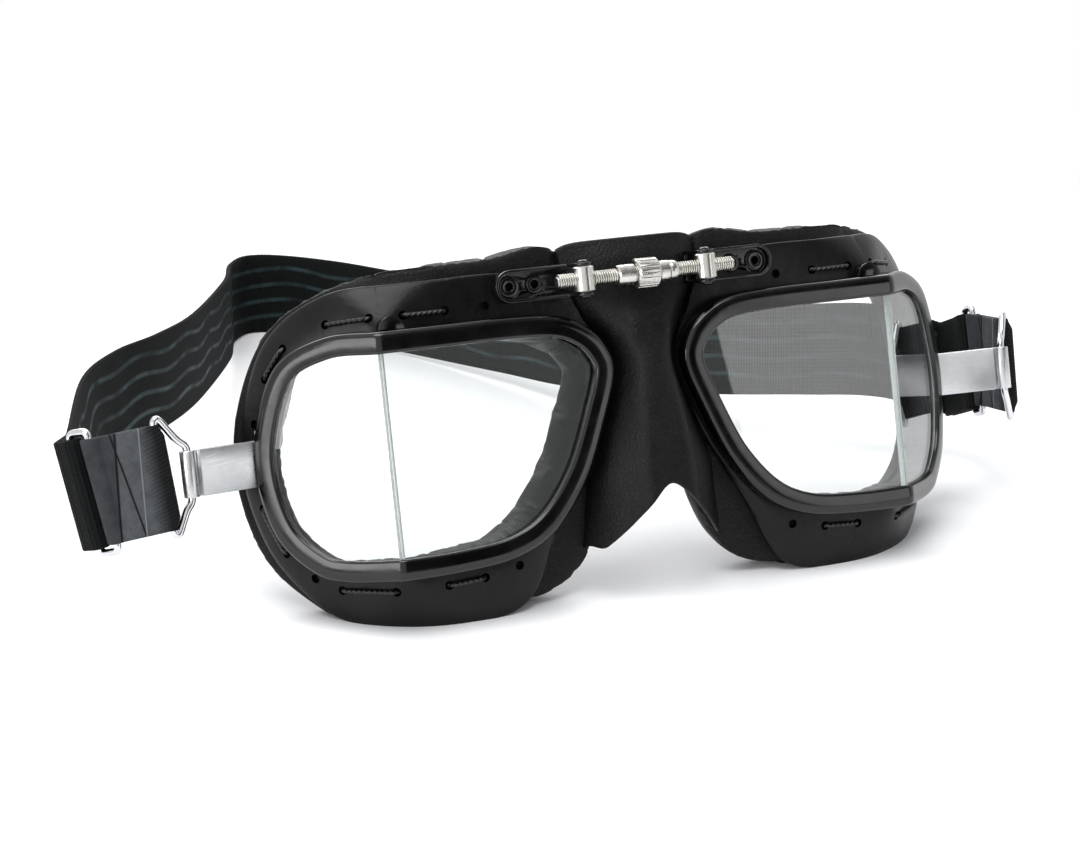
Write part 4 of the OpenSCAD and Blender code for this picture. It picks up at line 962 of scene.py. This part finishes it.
BARREL = POST + turned(-LINK_REST, LINK_LEN, 0)
CHAIN = {}
for name, loop_turn, tab_turn, rise, slider_turn, fold, fold_out in (
        ("left", -8, 9, 0.0, 54, 60, 2.6), ("right", 46, 44, 2.6, -8, 0, 5.2)):
    loop = rot_z(loop_turn)
    tab = loop @ rot_y(BAR_TILT) @ rot_z(tab_turn)
    ring = tab @ rot_y(SLIDER_TILT) @ rot_z(slider_turn)
    bar = BARREL + loop @ [LOOP_W, 0, 0]
    end = bar + tab @ [TAB_LEN, 0, rise]
    CHAIN[name] = dict(loop=loop, tab=tab, ring=ring, bar=bar, end=end, far=end + ring @ [SLIDER_W, 0, 0],
                       rise=rise, fold=np.radians(fold), fold_out=fold_out)
short_h, long_h = LINK_W / 2 + 1.1, LOOP_LEN / 2 - WIRE_D / 2
shift = (long_h - 1) * np.tan(BAR_TILT)
LOOP_PATH = np.array([[0, 0, -short_h], [0, 0, short_h], [LOOP_W * 0.3 + shift * 0.3, 0, short_h + 1.6],
                      [LOOP_W - 1 + shift, 0, long_h], [LOOP_W + shift, 0, long_h - 1], [LOOP_W - shift, 0, 1 - long_h],
                      [LOOP_W - 1 - shift, 0, -long_h], [LOOP_W * 0.3 - shift * 0.3, 0, -short_h - 1.6]])
top = STRAP_W / 2 + 0.35 + WIRE_D / 2
SLIDER_PATH = np.array([[0, 0, top], [SLIDER_W, 0, top], [SLIDER_W, 0, -top], [0, 0, -top]])
for name, side in SIDES.items():
    c = CHAIN[name]
    for piece, path, origin, axes, body, node in (
            ("wire_loop", LOOP_PATH, BARREL, c["loop"], "loop", "strap_loop"),
            ("wire_slider", SLIDER_PATH, c["end"], c["ring"], "ring", "slider")):
        line = origin + rounded_ring(path, 1.5) @ axes.T
        ob = tube(f"{name}_{piece}", on_table(line, side), WIRE_D / 2000, CHROME, closed=True, sides=20,
                  normal=direction(axes @ [0, 1, 0], side))
        dress(ob, f"{name}_{body}", "bright_wire", f"{name}_{node}")

# %% [markdown]
# A tab of suede is folded round the loop's long bar and round the slider's near bar, and sewn through in between.
# Seen from above it is a belt round two bars that is pinched flat in the middle; the leather has its own thickness.
# %% Suede tabs


def belt(near_r, far_r, pinch, steps=24):
    """Outline round two bars: half circles at the ends, and between them the larger of the circle and the pinch."""
    x = np.linspace(0, TAB_LEN, 40)[1:-1]
    reach = np.where(x < TAB_LEN / 2, near_r ** 2 - x ** 2, far_r ** 2 - (TAB_LEN - x) ** 2)
    y = (np.sqrt(np.maximum(reach, 0)) ** 5 + pinch ** 5) ** 0.2
    a = np.linspace(np.pi / 2, np.pi * 1.5, steps)
    first = np.column_stack([near_r * np.cos(a), near_r * np.sin(a)])
    last = np.column_stack([TAB_LEN - far_r * np.cos(a), -far_r * np.sin(a)])
    return np.concatenate([first, np.column_stack([x, -y]), last, np.column_stack([x[::-1], y[::-1]])])


TAB_H = LOOP_LEN - 2 * WIRE_D - 1.2
BORE, EYE = WIRE_D / 2 + RUN_GAP, WIRE_D / 2 + RUN_GAP + TAB_T


def sleeve(z):
    """The fold round the loop is drawn in towards its ends, where the loop's legs come past."""
    return EYE - (EYE - BORE - 0.1) * np.clip((np.abs(z) - TAB_H / 2 + 2.6) / 1.9, 0, 1)


z = np.linspace(-TAB_H / 2 + 0.3, TAB_H / 2 - 0.3, 30)
cap = np.array([[0.15, TAB_H / 2 - 0.08], [0.5, TAB_H / 2], [0.85, TAB_H / 2 - 0.08]])
for name, side in SIDES.items():
    c = CHAIN[name]
    mixv, zv = np.vstack([np.column_stack([0 * z, z]), cap, np.column_stack([1 + 0 * z, -z]), cap[::-1] * [1, -1]]).T
    outer = np.stack([belt(sleeve(v), EYE, TAB_T) for v in zv], 1)
    xy = outer * (1 - mixv[None, :, None]) + belt(BORE, BORE, 0.04)[:, None] * mixv[None, :, None]
    share = np.clip(xy[..., 0] / TAB_LEN, 0, 1)
    local = np.stack([xy[..., 0] + share * zv * np.tan(SLIDER_TILT), xy[..., 1], zv + share * c["rise"]], -1)
    ob = grid_piece(f"{name}_suede_tab", on_table(c["bar"] + local @ c["tab"].T, side), SUEDE, wrap_i=True, sharp=60)
    for label, k in (("from_loop", 0), ("up_tab", 2)):
        ob.data.attributes.new(label, "FLOAT", "POINT").data.foreach_set("value", local[..., k].ravel())
    dress(ob, f"{name}_tab", "grey_suede", f"{name}_strap_tab")

# %% [markdown]
# The elastic strap is one long ribbon: round the far bar of one slider, over the table behind the goggles and round
# the bar of the other. It is a section carried along rows of a lower edge and an up direction. On the real part it
# gives wherever the hardware swings, so it is cut into stretches, each of which lies between two bodies of the chain.
# %% Strap: where it runs
ROUTE = np.array([[-115, 84, 17.5, -0.12, 0.15], [-102, 108, 16.5, -0.08, 0.1], [-87, 128, 14.2, -0.04, 0.05],
                  [-70, 158, 10.5, 0, 0], [-45, 213, 4.2, 0, 0], [-34, 244, 1, 0, 0], [-22.6, 255, 0, 0, 0],
                  [-4, 240, 0, 0, 0], [12, 213, 0.7, 0, 0], [29, 173, 3.2, 0, 0], [42, 139, 6.2, 0, 0],
                  [67, 102, 12, 0, 0.03], [84, 81, 15.8, 0, 0.08], [97, 62, 19, 0, 0.14]])
STRAP_R, LAYER_GAP, FOLD_R = WIRE_D / 2 + 0.1 + STRAP_T / 2, STRAP_T + 0.4, 2.7


def bow(r, a):
    return np.stack([r * np.sin(a), -r * np.cos(a)], -1)


def strap_end(name):
    """The lower edge from the free end round the far bar to the doubled stretch's end, the up direction, and the
    places where that stretch begins and ends."""
    c = CHAIN[name]
    f, side = c["fold"], SIDES[name]
    hub = np.array([c["fold_out"], FOLD_R - LAYER_GAP / 2])
    ahead = np.array([np.cos(f), np.sin(f)]) * STRAP_RETURN
    bends = np.linspace(0, f, 9) if f > 0 else np.zeros(1)
    inner_arc, outer_arc = hub + bow(FOLD_R - LAYER_GAP, bends[::-1]), hub + bow(FOLD_R, bends)
    a = np.radians(np.linspace(90, 270, 15))
    wrap = STRAP_R * np.column_stack([np.cos(a), np.sin(a)])
    lead = np.linspace(1, 0, 9)[:-1, None]
    flat = np.concatenate([inner_arc[0] + ahead * lead, inner_arc, wrap, outer_arc,
                           outer_arc[-1] + ahead * (1 - lead[1:])])
    up = direction(c["ring"] @ [0, 0, 1], side)

    def lower_edge(points):
        upright = np.column_stack([points, np.zeros(len(points))])
        return on_table(c["far"] + upright @ c["ring"].T, side) * 1000 - up * STRAP_W / 2

    return lower_edge(flat), up, *lower_edge(outer_arc[-1] + ahead * [[0], [1]])


def strap_rows():
    """Both ends and the smooth curve through the route between them."""
    (a, ua, a1, a2), (b, ub, b1, b2) = strap_end("left"), strap_end("right")
    lean = unit(np.column_stack([ROUTE[:, 3:], np.ones(len(ROUTE))]))
    edge = np.vstack([a1, a2, ROUTE[:, :3], b2, b1])
    ups = np.vstack([ua, ua, lean, ub, ub])
    t = np.arange(1, len(edge) - 2, 1 / 16)
    k = np.floor(t).astype(int)
    q = (t - k)[:, None]
    mid, mid_up = (cubic(v[k - 1], v[k], v[k + 1], v[np.minimum(k + 2, len(v) - 1)], q) for v in (edge, ups))
    mid[:, 2] = np.maximum(mid[:, 2], 0)
    rows = np.vstack([a, mid, b2[None], b[::-1]])
    up = np.vstack([np.repeat(ua[None], len(a), 0), mid_up, np.repeat(ub[None], len(b) + 1, 0)])
    return rows, unit(up), len(a), len(b)


edge, ups, n_left, n_right = strap_rows()
mids = edge + ups * STRAP_W / 2
off = unit(np.cross(np.gradient(mids, axis=0), ups))
across = np.linspace(0.35, STRAP_W - 0.35, 22)
half = STRAP_T / 2
one_side = np.vstack([np.column_stack([half + 0 * across, across]), [[half * 0.7, STRAP_W - 0.08], [0, STRAP_W]]])
section = np.vstack([one_side, [[-half * 0.7, STRAP_W - 0.08]], np.column_stack([across * 0 - half, across[::-1]]),
                     [[-half * 0.7, 0.08], [0, 0], [half * 0.7, 0.08]]])
ribbon = (edge[:, None] + off[:, None] * section[None, :, :1] + ups[:, None] * section[None, :, 1:]) / 1000
ribbon[..., 2] = np.maximum(ribbon[..., 2], 0)
distance = length_along(mids)
print("strap length in mm, without its stretch:", round(float(distance[-1])))

# %% [markdown]
# Each end of the strap is cut at seven marks, given as distances from the doubled stretch. What lies before the first
# rides on the slider, and every stretch after it runs from one body of the chain to the next, up to the bridge.
# %% Strap: stretches from one body of the chain to the next
STEPS = [0, 14, 28, 42, 56, 96, 116]


def strap_piece(name, first, last):
    """Rows first to last of the ribbon as one closed piece whose weave carries on from the piece before."""
    return grid_piece(name, ribbon[first:last + 1], ELASTIC, sharp=60, start=distance[first] / 1000)


marks = {}
for name, sign in (("left", 1), ("right", -1)):
    zero = distance[n_left] if sign > 0 else distance[len(edge) - n_right - 1]
    marks[name] = [int(np.argmin(np.abs(distance - (zero + sign * s)))) for s in STEPS]
    joined = [f"{name}_{b}" for b in ("ring", "tab", "loop", "link", "eyepiece", "nut")] + ["bridge"]
    m = marks[name]
    ob = strap_piece(f"{name}_strap_fold", *((0, m[0]) if sign > 0 else (m[0], len(edge) - 1)))
    dress(ob, joined[0], "black_elastic")
    for k in range(6):
        ob = strap_piece(f"{name}_strap_bend_{k + 1}", min(m[k], m[k + 1]), max(m[k], m[k + 1]))
        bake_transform(ob)
ob = strap_piece("strap_middle", marks["left"][-1], marks["right"][-1])
dress(ob, "bridge", "black_elastic", "elastic_strap")

# %% [markdown]
# Softboxes above, behind and on the left light the goggles evenly, and a weak one fills in from the right. The sheen
# on black comes from what it mirrors: white surroundings with a dark gap in front, through which the photographer
# looks, and a greyer patch overhead. The backdrop and the far floor are white by their own colour, so the lamps
# never have to burn them out.
# %% Light, floor and surroundings


def softbox(name, at, target, width, height, power):
    data = bpy.data.lights.new(name, "AREA")
    data.shape, data.size, data.size_y, data.energy = "RECTANGLE", width, height, power
    ob = bpy.data.objects.new(name, data)
    ob.location = at
    ob.rotation_euler = (Vector(target) - Vector(at)).to_track_quat("-Z", "Y").to_euler()
    scene.collection.objects.link(ob)


softbox("softbox_above", (-0.25, -0.15, 1.2), (0.0, 0.05, 0.03), 1.1, 0.8, 14)
softbox("softbox_behind", (0.25, 1.1, 0.8), (0.0, 0.0, 0.05), 1.4, 0.6, 9)
softbox("softbox_left", (-1.1, -0.5, 0.32), (-0.08, 0.02, 0.03), 0.5, 0.5, 4)
softbox("softbox_right_front", (0.7, -0.98, 0.26), (0.03, 0.0, 0.04), 0.34, 0.5, 1.1)

studio = bpy.data.worlds.new("studio")
scene.world = studio
tree = empty_tree(studio)
rays = add(tree, "LightPath", None)
direct = add(tree, "TexCoord", "Generated")
facing = add(tree, "VectorMath", "Value", operation="DOT_PRODUCT", n0=direct, n1=(0.43, -0.882, 0.19))
above = add(tree, "VectorMath", "Value", operation="DOT_PRODUCT", n0=direct, n1=(0.3, -0.5, 0.81))
ceiling = between(tree, above, 0.75, 0.95, (1.0, 1.0, 1.0, 1.0), (0.25, 0.25, 0.26, 1.0))
mirror = between(tree, facing, 0.88, 0.955, ceiling, (0.015, 0.015, 0.017, 1.0))
lit = between(tree, rays["Is Glossy Ray"], 0, 1, (0.55, 0.56, 0.58, 1.0), mirror)
seen = add(tree, "Math", operation="MAXIMUM", n0=rays["Is Camera Ray"], n1=rays["Is Transmission Ray"])
colour = between(tree, seen, 0, 1, lit, (1.0, 1.0, 1.0, 1.0))
add(tree, "OutputWorld", None, Surface=add(tree, "Background", n0=colour, n1=1.0))

PAPER = bpy.data.materials.new("white_paper_sweep")
tree = empty_tree(PAPER)
flat = add(tree, "BsdfPrincipled", Base_Color=(0.93, 0.93, 0.935, 1), Roughness=0.7)
far = add(tree, "VectorMath", "Value", operation="LENGTH", n0=add(tree, "TexCoord", "Object"))
fade = add(tree, "MapRange", interpolation_type="SMOOTHSTEP", n0=far, n1=0.22, n2=0.5)
white = add(tree, "Emission", Color=(1, 1, 1, 1), Strength=1.0)
add(tree, "OutputMaterial", None, Surface=add(tree, "MixShader", n0=fade, n1=flat, n2=white))
paper = solid_mesh("paper", np.array([[-4, -4, 0], [4, -4, 0], [4, 4, 0], [-4, 4, 0]]) - [0, 0, 0.00001],
                   np.arange(4), np.array([4]), None, PAPER)
